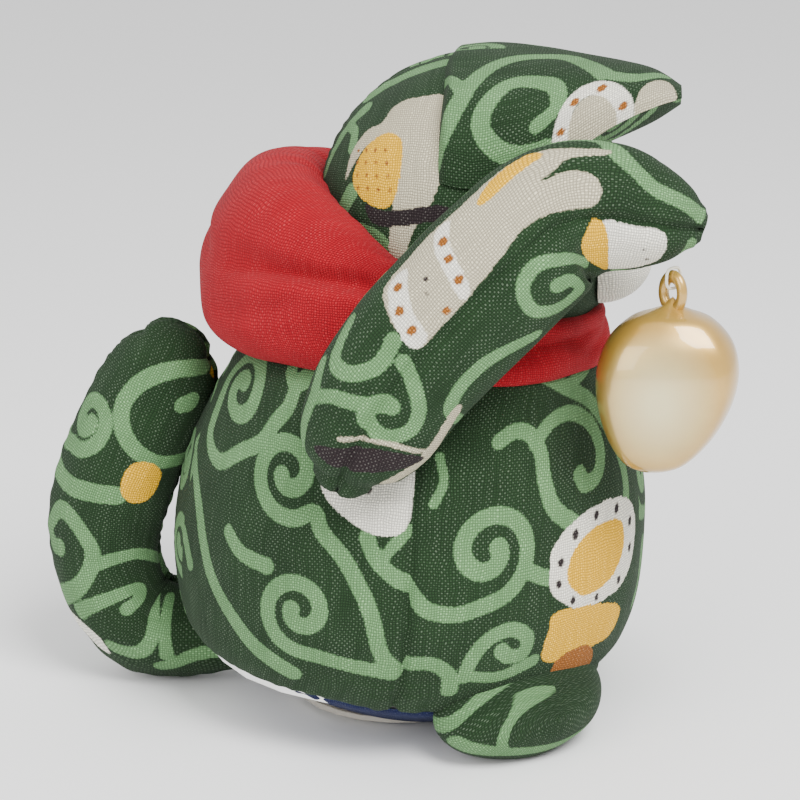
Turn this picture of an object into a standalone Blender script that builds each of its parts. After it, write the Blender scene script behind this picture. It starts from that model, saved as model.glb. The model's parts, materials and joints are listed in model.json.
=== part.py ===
"""A small stuffed-cloth dragon that sits upright. Its right arm is raised beside the head, and a
gold drop hangs from the folded paw by a loop of thread. Each sewn panel, each stuffing and the
weight inside is a solid of its own.

The tables below are in millimetres and the meshes are built in metres. +Z is up, the dragon
faces -Y, and its right side is -X. The origin is the middle of the flat rest under the base."""

import math

import bpy
import numpy as np

MM = 0.001

CLOTH = 0.5  # printed cotton with its interfacing
GAP = 0.35  # room kept between neighbouring pieces
CLEAR = 0.5  # room kept where a soft piece is pressed against another
SEAM = 0.003  # half of the gap along a lengthwise seam, as a part of one turn
FILL = 1.1  # how far a stuffing lies under the outer face of its cover

# Body: height, middle along Y, half depth along Y, half width along X.
BODY = (
    (4.6, 0.4, 24.6, 24.0),
    (8.0, 0.6, 28.6, 28.2),
    (13.0, -0.3, 31.6, 31.2),
    (20.0, -1.1, 33.2, 32.8),
    (28.0, -1.6, 33.3, 32.8),
    (36.0, -2.0, 31.9, 31.4),
    (43.0, -2.4, 29.4, 28.9),
    (49.0, -2.6, 26.4, 25.8),
    (53.5, -4.2, 22.8, 22.0),
    (56.6, -8.3, 18.0, 17.4),
)
BASE_LEAN = 0.04  # the base seam climbs this much per millimetre towards the back
BASE_RIM_Z = 4.2
FRONT_PANEL = (-0.235, 0.235)  # parts of a turn from the front, side seam to side seam

CARD_RADIUS, CARD_BOTTOM, CARD_TOP = 15.0, 0.85, 1.65
BAG_RADIUS, BAG_BOTTOM, BAG_TOP = 16.0, 2.0, 4.9

FOOT_CENTRE, FOOT_HALF = (16.8, -19.6, 6.6), (9.4, 10.4, 7.0)

HEAD_CENTRE = (0.0, -11.3, 70.8)
HEAD_HALF_X, HEAD_BACK, HEAD_FRONT, HEAD_UP, HEAD_DOWN = 22.6, 22.1, 19.3, 21.6, 22.6
NECK_Z = 57.5
NECK_STITCH_Z, NECK_STITCH_Y, NECK_STITCH_RADIUS, STITCH_RADIUS = 57.05, -9.5, 15.0, 0.2

# Upper jaw: place along Y, half width, height of the edge seam, height of the top, underside drop.
SNOUT = (
    (-6.0, 21.4, 78.4, 92.8, 0.0),
    (-12.0, 22.2, 77.6, 93.6, 0.6),
    (-19.0, 19.4, 79.2, 93.1, 1.5),
    (-25.0, 15.6, 82.2, 92.3, 2.8),
    (-30.0, 11.8, 84.8, 91.4, 3.4),
    (-34.5, 7.8, 86.4, 90.2, 2.9),
    (-38.0, 3.4, 87.0, 88.2, 1.2),
)
JAW_CENTRE, JAW_HALF = (0.0, -27.6, 64.6), (10.6, 7.2, 6.0)

# Tail: place along Y, height, half width across the curl, half width along X.
TAIL_X = 1.5
TAIL_ROOM = 0.16  # extra room from the body for each millimetre beside the tail's hinge
TAIL = (
    (29.5, 7.9, 6.6, 6.6),
    (33.6, 7.7, 7.3, 7.3),
    (38.2, 9.0, 7.5, 7.5),
    (41.6, 12.6, 7.7, 7.7),
    (43.2, 18.0, 7.9, 7.9),
    (43.0, 24.0, 8.1, 8.0),
    (41.6, 30.0, 8.4, 8.1),
    (39.4, 35.6, 8.5, 8.1),
    (36.8, 40.6, 8.3, 7.9),
    (34.4, 44.6, 7.3, 7.0),
    (32.6, 47.8, 5.2, 5.0),
    (31.8, 49.8, 2.0, 2.0),
)

# Arms: distance from the middle along X, place along Y, height.
RAISED_ARM = (
    (34.2, 3.6, 42.9),
    (34.2, 2.6, 45.4),
    (34.0, 0.2, 50.0),
    (33.4, -4.4, 57.0),
    (32.4, -11.2, 64.6),
    (30.8, -17.7, 71.0),
    (28.0, -23.2, 75.3),
    (25.2, -28.4, 75.9),
    (23.8, -33.6, 74.9),
    (23.0, -38.0, 73.9),
    (22.6, -40.6, 73.2),
)
LOWERED_ARM = (
    (30.0, 3.4, 56.0),
    (31.6, 2.8, 53.4),
    (34.8, 1.2, 48.2),
    (38.2, -1.9, 40.6),
    (39.6, -6.1, 31.6),
    (38.6, -10.8, 24.2),
    (36.0, -16.0, 19.6),
    (32.8, -21.4, 17.4),
    (29.8, -26.6, 16.6),
    (27.4, -30.8, 15.8),
    (26.4, -33.2, 15.4),
)
ARM_HALF_WIDTH = (4.2, 7.2, 8.9, 9.7, 9.9, 9.8, 9.2, 8.5, 7.1, 4.9, 2.2)
ARM_HALF_DEPTH = (3.4, 5.4, 6.4, 6.9, 7.0, 6.9, 6.7, 6.4, 5.6, 4.2, 2.0)
SHOULDER = (1.5, 48.0)  # Y and Z of the place where an arm is sewn on and turns
ARM_ROOM = 0.06  # extra room from the body for each millimetre away from the shoulder

# Neckerchief
BAND_REACH = 0.385  # part of a turn to each side of the front
BAND_FRONT_Z, BAND_SIDE_Z = (51.0, 57.6), (53.4, 62.6)
BAND_THICK = 1.9
NECK_ROOM = 0.95  # room kept under the neckerchief, where the groove is sharply curved
BUNDLE_CENTRE, BUNDLE_HALF = (0.0, 19.2, 64.2), (13.4, 8.9, 14.1)

# Hanging drop, in its own turned profile: height above its tip, radius.
DROP = ((0.0, 1.2), (1.6, 4.4), (5.2, 7.0), (9.6, 8.7), (13.8, 9.1), (17.8, 7.9), (20.8, 5.0), (22.1, 1.6))
DROP_FLATTEN = 0.86
DROP_TIP_SHIFT = 2.0
HANG = (-23.2, -37.4)  # X and Y of the place under the paw where the thread comes out
DROP_TIP_Z = 41.0
EYE_TURN = math.radians(45)
EYE_RING, EYE_WIRE, EYE_Z = 1.9, 0.75, 64.9
THREAD_RADIUS, THREAD_HALF_WIDTH, THREAD_TOP_Z, THREAD_BOTTOM_Z = 0.2, 1.25, 68.15, 65.45


def material(name, colour, roughness, metallic=0.0):
    made = bpy.data.materials.new(name)
    made.use_nodes = True
    shader = made.node_tree.nodes["Principled BSDF"]
    shader.inputs["Base Color"].default_value = (*colour, 1.0)
    shader.inputs["Roughness"].default_value = roughness
    shader.inputs["Metallic"].default_value = metallic
    return made


def along(table, places):
    """Rows read from a table on a smooth curve through its own rows; places run from 0 to 1."""
    rows = np.asarray(table, float)
    rows = rows.reshape(len(rows), -1)
    at = np.clip(np.asarray(places, float), 0.0, 1.0) * (len(rows) - 1)
    start = np.minimum(at.astype(int), len(rows) - 2)
    t = (at - start)[..., None]
    before = rows[np.maximum(start - 1, 0)]
    first, second = rows[start], rows[start + 1]
    after = rows[np.minimum(start + 2, len(rows) - 1)]
    slope_in, slope_out = (second - before) / 2, (after - first) / 2
    return (
        (2 * t**3 - 3 * t**2 + 1) * first
        + (t**3 - 2 * t**2 + t) * slope_in
        + (3 * t**2 - 2 * t**3) * second
        + (t**3 - t**2) * slope_out
    )


def stacked(x, y, z):
    return np.stack(np.broadcast_arrays(x, y, z), axis=-1)


# ---------------------------------------------------------------- surfaces: (turn, along) -> points


def body_skin(turn, place):
    """The body's outside. turn 0 is the front and grows towards the right side (-X)."""
    row = along(BODY, place)
    z, middle, depth, width = row[..., 0], row[..., 1], row[..., 2], row[..., 3]
    angle = 2 * math.pi * turn
    y = middle - depth * np.cos(angle)
    lean = BASE_LEAN * (y - middle) * (1 - np.clip(place, 0, 1)) ** 3
    return stacked(-width * np.sin(angle), y, z + lean)


def base_skin(turn, place):
    """The base's underside: a flat middle that curves up to the seam. place 1 is the rim."""
    rim = body_skin(turn, np.zeros_like(turn))
    rise = np.clip((place - 0.64) / 0.36, 0, 1) ** 2.2
    middle = np.array([0.0, BODY[0][1], 0.0])
    flat = middle + (rim * [1, 1, 0] - middle) * place[..., None]
    height = rise * (BASE_RIM_Z - BODY[0][0] + rim[..., 2])
    return stacked(flat[..., 0], flat[..., 1], height)


def ball(centre, half, turn, place):
    """An ellipsoid with its poles along Y. place 0 is the pole in front."""
    angle, polar = 2 * math.pi * turn, math.pi * place
    unit = stacked(np.sin(polar) * np.sin(angle), -np.cos(polar), np.sin(polar) * np.cos(angle))
    return np.asarray(centre) + unit * half


def head_skin(turn, place):
    """The head: a ball that is a little flat in front, cut level where it sits on the body."""
    points = ball((0, 0, 0), (1, 1, 1), turn, place)
    x, y, z = points[..., 0], points[..., 1], points[..., 2]
    y = np.where(y > 0, y * HEAD_BACK, y * HEAD_FRONT)
    z = np.where(z > 0, z * HEAD_UP, z * HEAD_DOWN)
    points = stacked(x * HEAD_HALF_X, y, z) + HEAD_CENTRE
    return np.maximum(points, (-1e3, -1e3, NECK_Z))


def tube_skin(centres, half_width, half_depth):
    """A bent tube. Its wide side lies across the bend in the YZ plane, its narrow side along X."""

    def skin(turn, place):
        middle = along(centres, place)
        step = 0.01
        ahead = along(centres, place + step) - along(centres, place - step)
        length = np.hypot(ahead[..., 1], ahead[..., 2])
        normal = stacked(0.0, -ahead[..., 2] / length, ahead[..., 1] / length)
        angle = 2 * math.pi * turn
        wide = along(half_width, place) * np.cos(angle)[..., None]
        deep = along(half_depth, place)[..., 0] * np.sin(angle)
        return middle + wide * normal + stacked(deep, 0.0, 0.0)

    return skin


# ---------------------------------------------------------------- keeping soft pieces apart


def body_reach(points, room):
    """1 on the body's outside with this much room, less inside it, and the body's middle along Y."""
    heights = np.array([row[0] for row in BODY])
    spread = np.linspace(0, 1, len(BODY))
    place = np.interp(points[..., 2], heights, spread)
    lean = BASE_LEAN * (points[..., 1] - along(BODY, place)[..., 1]) * (1 - place) ** 3
    row = along(BODY, np.interp(points[..., 2] - lean, heights, spread))
    middle, depth, width = row[..., 1], row[..., 2] + room, row[..., 3] + room
    reach = np.hypot(points[..., 0] / width, (points[..., 1] - middle) / depth)
    above = points[..., 2] > heights[-1] + CLEAR
    return np.where(above, 1.0, np.maximum(reach, 1e-6)), middle


def outside_body(points, room):
    """Points moved out, level with the ground, to at least this far from the body."""
    reach, middle = body_reach(points, room)
    scale = 1 / np.minimum(reach, 1.0)
    y = (points[..., 1] - middle) * scale + middle
    return stacked(points[..., 0] * scale, y, points[..., 2])


def head_reach(points, room):
    """1 on the head's outside with this much room, less inside it."""
    off = points - HEAD_CENTRE
    depth = np.where(off[..., 1] > 0, HEAD_BACK, HEAD_FRONT) + room
    height = np.where(off[..., 2] > 0, HEAD_UP, HEAD_DOWN) + room
    half = stacked(HEAD_HALF_X + room, depth, height)
    return np.maximum(np.linalg.norm(off / half, axis=-1), 1e-6)


def outside_head(points, room):
    scale = 1 / np.minimum(head_reach(points, room), 1.0)
    return HEAD_CENTRE + (points - HEAD_CENTRE) * scale[..., None]


# ---------------------------------------------------------------- solids


def raised(skin, turn, place, height):
    """Points this far outside a skin, or inside it where height is negative."""
    step = 1e-3
    across = skin(turn + step, place) - skin(turn - step, place)
    forward = skin(turn, np.minimum(place + step, 1)) - skin(turn, np.maximum(place - step, 0))
    normal = np.cross(across, forward)
    normal /= np.maximum(np.linalg.norm(normal, axis=-1, keepdims=True), 1e-12)
    whole_turn, whole_place = np.meshgrid(np.linspace(0, 1, 9), np.linspace(0.2, 0.8, 5))
    ring = skin(whole_turn, whole_place)
    near = skin(whole_turn + step, whole_place) - ring
    far = skin(whole_turn, whole_place + step) - ring
    outward = ring - ring.mean(axis=(0, 1))
    sign = np.sign((np.cross(near, far) * outward).sum())
    return skin(turn, place) + normal * sign * height


def solid(name, points, faces, look):
    """One closed mesh object, its faces turned outwards. points are millimetres."""
    mesh = bpy.data.meshes.new(name)
    mesh.from_pydata([tuple(point * MM) for point in points], [], faces)
    if sum(face.center.dot(face.normal) * face.area for face in mesh.polygons) < 0:
        mesh.flip_normals()
    mesh.shade_smooth()
    mesh.set_sharp_from_angle(angle=math.radians(50))
    mesh.materials.append(look)
    made = bpy.data.objects.new(name, mesh)
    bpy.context.scene.collection.objects.link(made)
    return made


def quads(rows, columns, wrap, start=0, turned=False):
    """The faces of a grid of points. wrap joins its last column to its first."""
    faces = []
    for i in range(rows - 1):
        for j in range(columns if wrap else columns - 1):
            k = (j + 1) % columns
            a, b = start + i * columns + j, start + i * columns + k
            face = (a, b, b + columns, a + columns)
            faces.append(face[::-1] if turned else face)
    return faces


def shell(name, outer, inner, look, wrap=False):
    """A thin closed solid between two grids of points, open in the middle if wrap is set."""
    rows, columns = outer.shape[:2]
    count = rows * columns
    points = np.concatenate([outer.reshape(-1, 3), inner.reshape(-1, 3)])
    faces = quads(rows, columns, wrap) + quads(rows, columns, wrap, count, True)
    for j in range(columns if wrap else columns - 1):
        k = (j + 1) % columns
        faces.append((k, j, j + count, k + count))
        last = (rows - 1) * columns
        faces.append((last + j, last + k, last + k + count, last + j + count))
    if not wrap:
        for i in range(rows - 1):
            a, b = i * columns, (i + 1) * columns
            faces.append((a, b, b + count, a + count))
            a, b = a + columns - 1, b + columns - 1
            faces.append((b, a, a + count, b + count))
    return solid(name, points, faces, look)


def panel(name, skin, turns, places, steps, look):
    """A cloth panel: a part of a skin, CLOTH thick."""
    turn, place = np.meshgrid(np.linspace(*turns, steps[0]), np.linspace(*places, steps[1]))
    return shell(name, skin(turn, place), raised(skin, turn, place, -CLOTH), look)


def ring_grid(steps, places):
    return np.meshgrid(np.arange(steps[0]) / steps[0], np.linspace(*places, steps[1]))


def capped(name, grid, look):
    """A closed solid from rings of points, with a point in the middle of each end."""
    rows, columns = grid.shape[:2]
    points = np.concatenate([grid.reshape(-1, 3), [grid[0].mean(axis=0), grid[-1].mean(axis=0)]])
    faces = quads(rows, columns, True)
    first, last, base = rows * columns, rows * columns + 1, (rows - 1) * columns
    for j in range(columns):
        k = (j + 1) % columns
        faces.append((first, k, j))
        faces.append((last, base + j, base + k))
    return solid(name, points, faces, look)


def cup(name, outer, inner, look):
    """A thin bowl between two sets of rings. Both are closed at their first ring's middle."""
    rows, columns = outer.shape[:2]
    count = rows * columns
    points = np.concatenate(
        [outer.reshape(-1, 3), inner.reshape(-1, 3), [outer[0].mean(axis=0), inner[0].mean(axis=0)]]
    )
    faces = quads(rows, columns, True) + quads(rows, columns, True, count, True)
    last = (rows - 1) * columns
    for j in range(columns):
        k = (j + 1) % columns
        faces.append((2 * count, k, j))
        faces.append((2 * count + 1, count + j, count + k))
        faces.append((last + j, last + k, last + k + count, last + j + count))
    return solid(name, points, faces, look)


# ---------------------------------------------------------------- the pieces


def build_body(look):
    half = 0.5
    front, back = FRONT_PANEL[1] - SEAM, FRONT_PANEL[1] + SEAM
    panel("body_front_panel", body_skin, (-front, front), (0, 1), (15, 11), look["print"])
    panel("body_back_right_panel", body_skin, (back, half - SEAM), (0, 1), (9, 11), look["print"])
    panel("body_back_left_panel", body_skin, (SEAM - half, -back), (0, 1), (9, 11), look["print"])
    turn, place = ring_grid((24, 10), (0.075, 1.0))
    core = raised(body_skin, turn, place, -FILL)
    capped("body_stuffing", core, look["stuffing"])


def disc(name, radius, bottom, top, bulge, look):
    """A round flat piece with an edge that is rounded by bulge."""
    outline = ((radius - bulge, bottom), (radius, bottom + bulge), (radius, top - bulge), (radius - bulge, top))
    angle = np.arange(24) / 24 * 2 * math.pi
    rings = [stacked(r * np.cos(angle), r * np.sin(angle), z) for r, z in outline]
    return capped(name, np.stack(rings), look)


def build_base(look):
    turn, place = np.meshgrid(np.arange(28) / 28, (0.3, 0.64, 0.76, 0.88, 0.95, 1.0))
    outer = base_skin(turn, place)
    middle = np.array([0.0, BODY[0][1], 0.0])
    inwards = (middle - outer) * [1, 1, 0]
    inner = outer + (0, 0, CLOTH)
    inner[-2] += inwards[-2] * CLOTH / 2 / BODY[0][2]
    inner[-1] = outer[-1] + inwards[-1] * CLOTH / BODY[0][2]
    cup("base_panel", outer, inner, look["navy"])
    disc("base_card", CARD_RADIUS, CARD_BOTTOM, CARD_TOP, 0.1, look["card"])
    disc("weight_bag", BAG_RADIUS, BAG_BOTTOM, BAG_TOP, 1.2, look["pellets"])


def foot_points(side, shrink, turn, place, room):
    """A foot's outside, pressed against the body. place 0 is its outer pole."""
    out = np.array([FOOT_CENTRE[0] * side, FOOT_CENTRE[1]])
    out /= np.linalg.norm(out)
    polar, angle = math.pi * place, 2 * math.pi * turn
    along_out, across, up = np.cos(polar), np.sin(polar) * np.sin(angle), np.sin(polar) * np.cos(angle)
    half = np.array(FOOT_HALF) - shrink
    x = out[0] * along_out - out[1] * across
    y = out[1] * along_out + out[0] * across
    centre = np.array(FOOT_CENTRE) * (side, 1, 1)
    points = centre + stacked(x, y, up) * half
    points = np.maximum(points, (-1e3, -1e3, shrink))
    return outside_body(points, room)


def build_feet(look):
    for side, name in ((-1, "right"), (1, "left")):
        turn, place = ring_grid((14, 6), (0.07, 0.5))
        outer = foot_points(side, 0.0, turn, place, CLEAR)
        inner = foot_points(side, CLOTH, turn, place, CLEAR)
        cup(f"{name}_foot_cover", outer, inner, look["print"])
        turn, place = ring_grid((14, 8), (0.07, 0.93))
        core = foot_points(side, FILL + 0.9, turn, place, CLEAR + 0.3)
        capped(f"{name}_foot_stuffing", core, look["stuffing"])


def build_head(look):
    end = (0.06, 0.94)
    panel("head_left_panel", head_skin, (SEAM, 0.5 - SEAM), end, (11, 11), look["print"])
    panel("head_right_panel", head_skin, (0.5 + SEAM, 1 - SEAM), end, (11, 11), look["print"])
    turn, place = ring_grid((20, 10), (0.06, 0.94))
    core = HEAD_CENTRE + (head_skin(turn, place) - HEAD_CENTRE) * (1 - FILL / HEAD_FRONT)
    core[..., 2] = np.maximum(core[..., 2], NECK_Z + FILL)
    capped("head_stuffing", core, look["stuffing"])
    angle = np.arange(24) / 24 * 2 * math.pi
    build_ring(
        "neck_stitching",
        (0, NECK_STITCH_Y, NECK_STITCH_Z),
        NECK_STITCH_RADIUS * stacked(np.cos(angle), np.sin(angle), 0.0),
        STITCH_RADIUS,
        look["thread"],
    )


def build_ring(name, centre, loop, radius, look, sides=6):
    """A closed ring of round section along a closed loop of points round a centre."""
    ahead = np.roll(loop, -1, axis=0) - np.roll(loop, 1, axis=0)
    ahead /= np.linalg.norm(ahead, axis=1, keepdims=True)
    flat = np.cross(loop[0], loop[len(loop) // 4])
    flat /= np.linalg.norm(flat)
    out = np.cross(ahead, flat)
    rings = []
    for side in range(sides):
        angle = 2 * math.pi * side / sides
        rings.append(centre + loop + radius * (math.cos(angle) * out + math.sin(angle) * flat))
    grid = np.stack(rings)
    grid = np.concatenate([grid, grid[:1]])
    points = grid[:-1].reshape(-1, 3)
    faces = [tuple(i % len(points) for i in face) for face in quads(sides + 1, len(loop), True)]
    return solid(name, points, faces, look)


def snout_top(across, place):
    row = along(SNOUT, place)
    y, width, seam, top = row[..., 0], row[..., 1], row[..., 2], row[..., 3]
    arch = (1 - np.abs(across) ** 2.3) ** (1 / 2.3)
    return stacked(across * width, y, seam + (top - seam) * arch)


def snout_bottom(across, place):
    row = along(SNOUT, place)
    y, width, seam, drop = row[..., 0], row[..., 1], row[..., 2], row[..., 4]
    x = across * width
    over = 1 - (x / (HEAD_HALF_X + GAP)) ** 2
    depth = np.where(y > HEAD_CENTRE[1], HEAD_BACK, HEAD_FRONT) + GAP
    over = np.maximum(over - ((y - HEAD_CENTRE[1]) / depth) ** 2, 0)
    ball_top = np.where(over > 0, HEAD_CENTRE[2] + (HEAD_UP + GAP) * np.sqrt(over), 0)
    return stacked(x, y, np.maximum(seam - drop * (1 - across**2), ball_top))


def build_snout(look):
    across, place = np.meshgrid(np.sin(np.linspace(-1.38, 1.38, 13)), np.linspace(0, 1, 11))
    top = snout_top(across, place)
    lower = top - stacked(across * 0.55 * CLOTH, 0, CLOTH * (1 - 0.2 * across**2))
    shell("snout_top_panel", top, lower, look["print"])
    across, place = np.meshgrid(np.linspace(-0.9, 0.9, 9), np.linspace(0.62, 0.985, 6))
    under = snout_bottom(across, place)
    shell("snout_under_panel", under, under + (0, 0, 0.8 * CLOTH), look["print"])
    across, place = np.meshgrid(np.linspace(-0.74, 0.74, 9), np.linspace(0.36, 0.9, 7))
    floor = snout_bottom(across, place) + (0, 0, FILL)
    roof = snout_top(across, place) - (0, 0, FILL + 0.2)
    roof = np.maximum(roof, floor + (0, 0, 0.25))
    shell("snout_stuffing", roof, floor, look["stuffing"])


def jaw_points(shrink, turn, place, room):
    points = ball(JAW_CENTRE, np.array(JAW_HALF) - shrink, turn, place)
    return outside_head(points, room)


def build_jaw(look):
    turn, place = ring_grid((14, 5), (0.08, 0.42))
    outer = jaw_points(0.0, turn, place, CLEAR)
    inner = jaw_points(CLOTH, turn, place, CLEAR)
    cup("lower_jaw_cover", outer, inner, look["print"])
    turn, place = ring_grid((14, 5), (0.08, 0.43))
    room = CLEAR + 0.1
    core = jaw_points(FILL, turn, place, room)
    middle = core[-1].mean(axis=0)
    back = [outside_head(middle + (core[-1] - middle) * share, room) for share in (0.68, 0.34)]
    capped("lower_jaw_stuffing", np.stack([*core, *back]), look["stuffing"])


def tail_skin(turn, place, under=0.0):
    """The tail's outside, or the same tube this much thinner."""
    rows = np.asarray(TAIL)
    centres = [(TAIL_X, y, z) for y, z in rows[:, :2]]
    half_width, half_depth = np.maximum(rows[:, 2:].T - under, 0.8)
    points = tube_skin(centres, half_width, half_depth)(turn, place)
    room = CLEAR + under + TAIL_ROOM * np.abs(points[..., 0] - TAIL_X)
    return np.maximum(outside_body(points, room), (-1e3, -1e3, under + 0.1))


def build_tail(look):
    ends = (0.0, 1.0)
    panel("tail_left_panel", tail_skin, (SEAM, 0.5 - SEAM), ends, (7, 16), look["print"])
    panel("tail_right_panel", tail_skin, (0.5 + SEAM, 1 - SEAM), ends, (7, 16), look["print"])
    turn, place = ring_grid((12, 15), (0.03, 0.95))
    capped("tail_stuffing", tail_skin(turn, place, FILL), look["stuffing"])


def arm_skin(side, centres, under=0.0):
    """An arm's outside, kept clear of body and head, or the same tube this much thinner. side is
    -1 for the right arm."""
    placed = [(side * x, y, z) for x, y, z in centres]
    half_width = np.maximum(np.array(ARM_HALF_WIDTH) - under, 0.8)
    half_depth = np.maximum(np.array(ARM_HALF_DEPTH) - under, 0.8)
    tube = tube_skin(placed, half_width, half_depth)

    def skin(turn, place):
        points = tube(turn, place)
        from_shoulder = np.hypot(points[..., 1] - SHOULDER[0], points[..., 2] - SHOULDER[1])
        room = CLEAR + under + ARM_ROOM * from_shoulder
        return outside_head(outside_body(points, room), room)

    return skin


def build_arms(look):
    for side, name, centres in ((-1, "right", RAISED_ARM), (1, "left", LOWERED_ARM)):
        skin = arm_skin(side, centres)
        ends = (0.0, 1.0)
        lower, upper = (SEAM - 0.25, 0.25 - SEAM), (0.25 + SEAM, 0.75 - SEAM)
        panel(f"{name}_arm_upper_panel", skin, upper, ends, (7, 13), look["print"])
        panel(f"{name}_arm_lower_panel", skin, lower, ends, (7, 13), look["print"])
        turn, place = ring_grid((12, 12), (0.03, 0.97))
        core = arm_skin(side, centres, FILL + 0.4)(turn, place)
        capped(f"{name}_arm_stuffing", core, look["stuffing"])


def band_points(turn, rise, lift):
    """The neckerchief's inside, in the groove between head and body. rise 0 is its lower edge."""
    back = np.clip(np.abs(turn) / BAND_REACH, 0, 1) ** 1.4
    low = BAND_FRONT_Z[0] + (BAND_SIDE_Z[0] - BAND_FRONT_Z[0]) * back
    high = BAND_FRONT_Z[1] + (BAND_SIDE_Z[1] - BAND_FRONT_Z[1]) * back
    centre = stacked(0.0, NECK_STITCH_Y, low + (high - low) * rise)
    angle = 2 * math.pi * turn
    heading = stacked(-np.sin(angle), -np.cos(angle), 0.0)
    near, far = np.zeros(heading.shape[:-1]), np.full(heading.shape[:-1], 50.0)
    for _ in range(24):
        middle = (near + far) / 2
        points = centre + heading * middle[..., None]
        inside = np.minimum(body_reach(points, NECK_ROOM)[0], head_reach(points, NECK_ROOM)) < 1
        near, far = np.where(inside, middle, near), np.where(inside, far, middle)
    return centre + heading * (far + lift)[..., None]


def build_neckerchief(look):
    turn, rise = np.meshgrid(np.linspace(-BAND_REACH, BAND_REACH, 23), np.linspace(0, 1, 5))
    puff = BAND_THICK * np.sin(math.pi * (0.12 + 0.76 * rise))
    shell("neckerchief_band", band_points(turn, rise, puff), band_points(turn, rise, 0.0), look["red"])
    turn, place = ring_grid((18, 7), (0.07, 0.6))
    cup(
        "nape_bundle_cloth",
        bundle_points(0.0, turn, 1 - place, CLEAR),
        bundle_points(CLOTH, turn, 1 - place, CLEAR),
        look["red"],
    )
    turn, place = ring_grid((16, 8), (0.07, 0.93))
    core = bundle_points(FILL + 0.2, turn, place, NECK_ROOM + 0.4)
    capped("nape_bundle_stuffing", core, look["stuffing"])


def bundle_points(shrink, turn, place, room):
    points = ball(BUNDLE_CENTRE, np.array(BUNDLE_HALF) - shrink, turn, place)
    return outside_body(outside_head(points, room), room)


def build_drop(look):
    angle = np.arange(18) / 18 * 2 * math.pi
    rings = []
    for height, radius in along(DROP, np.linspace(0, 1, 11)):
        shift = DROP_TIP_SHIFT * (1 - height / DROP[-1][0]) ** 2
        x = HANG[0] + DROP_FLATTEN * radius * np.cos(angle)
        y = HANG[1] + shift + radius * np.sin(angle)
        rings.append(stacked(x, y, DROP_TIP_Z + height))
    drop = capped("drop", np.stack(rings), look["gold"])
    eye_way = np.array([math.sin(EYE_TURN), math.cos(EYE_TURN), 0.0])
    loop = [
        EYE_RING * (math.cos(a) * eye_way + math.sin(a) * np.array([0, 0, 1.0]))
        for a in np.arange(20) / 20 * 2 * math.pi
    ]
    eye = build_ring("drop_eye_guide", (*HANG, EYE_Z), np.array(loop), EYE_WIRE, look["gold"], 8)
    eye.hide_render = True
    eye.display_type = "WIRE"
    join = drop.modifiers.new("eye", "BOOLEAN")
    join.operation = "UNION"
    join.solver = "EXACT"
    join.object = eye
    build_thread(look)


def build_thread(look):
    """The stitched loop through the eye: an upright rounded loop across the eye's plane."""
    way = np.array([math.cos(EYE_TURN), -math.sin(EYE_TURN), 0.0])
    middle = (THREAD_TOP_Z + THREAD_BOTTOM_Z) / 2
    half_height = (THREAD_TOP_Z - THREAD_BOTTOM_Z) / 2
    loop = []
    for a in np.arange(20) / 20 * 2 * math.pi:
        across = math.copysign(abs(math.cos(a)) ** 0.7, math.cos(a)) * THREAD_HALF_WIDTH
        up = math.copysign(abs(math.sin(a)) ** 0.7, math.sin(a)) * half_height
        loop.append(across * way + up * np.array([0, 0, 1.0]))
    build_ring("hanging_thread", (*HANG, middle), np.array(loop), THREAD_RADIUS, look["thread"])


def main():
    for old in list(bpy.data.objects):
        bpy.data.objects.remove(old, do_unlink=True)
    look = {
        "print": material("printed_cotton", (0.035, 0.105, 0.055), 0.9),
        "navy": material("navy_cotton", (0.010, 0.016, 0.045), 0.9),
        "red": material("red_cotton", (0.42, 0.018, 0.028), 0.9),
        "gold": material("gold_lacquer", (0.62, 0.43, 0.13), 0.25, 0.6),
        "thread": material("sewing_thread", (0.70, 0.66, 0.55), 0.8),
        "stuffing": material("polyester_stuffing", (0.85, 0.85, 0.83), 1.0),
        "card": material("grey_card", (0.45, 0.42, 0.36), 0.9),
        "pellets": material("pellet_bag", (0.75, 0.74, 0.70), 0.9),
    }
    build_body(look)
    build_base(look)
    build_feet(look)
    build_head(look)
    build_snout(look)
    build_jaw(look)
    build_tail(look)
    build_arms(look)
    build_neckerchief(look)
    build_drop(look)


main()
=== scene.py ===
import json
import math

import bpy
import numpy as np
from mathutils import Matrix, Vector


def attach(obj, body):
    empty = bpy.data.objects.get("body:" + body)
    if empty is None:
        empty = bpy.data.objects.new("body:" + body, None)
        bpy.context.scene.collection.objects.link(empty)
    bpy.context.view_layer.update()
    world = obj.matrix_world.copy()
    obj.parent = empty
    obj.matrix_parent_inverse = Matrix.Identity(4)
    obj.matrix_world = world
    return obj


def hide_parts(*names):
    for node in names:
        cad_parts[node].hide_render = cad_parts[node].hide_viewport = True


"""Looks of the stuffed cloth dragon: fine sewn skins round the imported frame, a scroll print, a red
neckerchief, a pearly gold drop, and a plain white studio. Tables are in millimetres, meshes in
metres. The surfaces repeat the frame's driving sizes. turn runs once round a piece, place runs
along it from 0 to 1."""

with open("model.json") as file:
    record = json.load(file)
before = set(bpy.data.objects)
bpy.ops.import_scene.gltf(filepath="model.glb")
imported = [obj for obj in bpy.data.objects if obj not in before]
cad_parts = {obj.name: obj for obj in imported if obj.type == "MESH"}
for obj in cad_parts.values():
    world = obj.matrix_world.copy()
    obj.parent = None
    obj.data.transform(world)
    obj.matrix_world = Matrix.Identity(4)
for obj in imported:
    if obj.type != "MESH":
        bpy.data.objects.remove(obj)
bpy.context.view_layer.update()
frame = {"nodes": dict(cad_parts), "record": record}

MM = 0.001
CELL = 0.4  # size of a mesh cell on the printed cloth
CLEAR = 0.5  # room that the frame keeps where a soft piece is pressed against another
SETTLED = -0.35  # the same place here: the covers touch and press in a little

# ---------------------------------------------------------------- driving sizes, as in the frame

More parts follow.
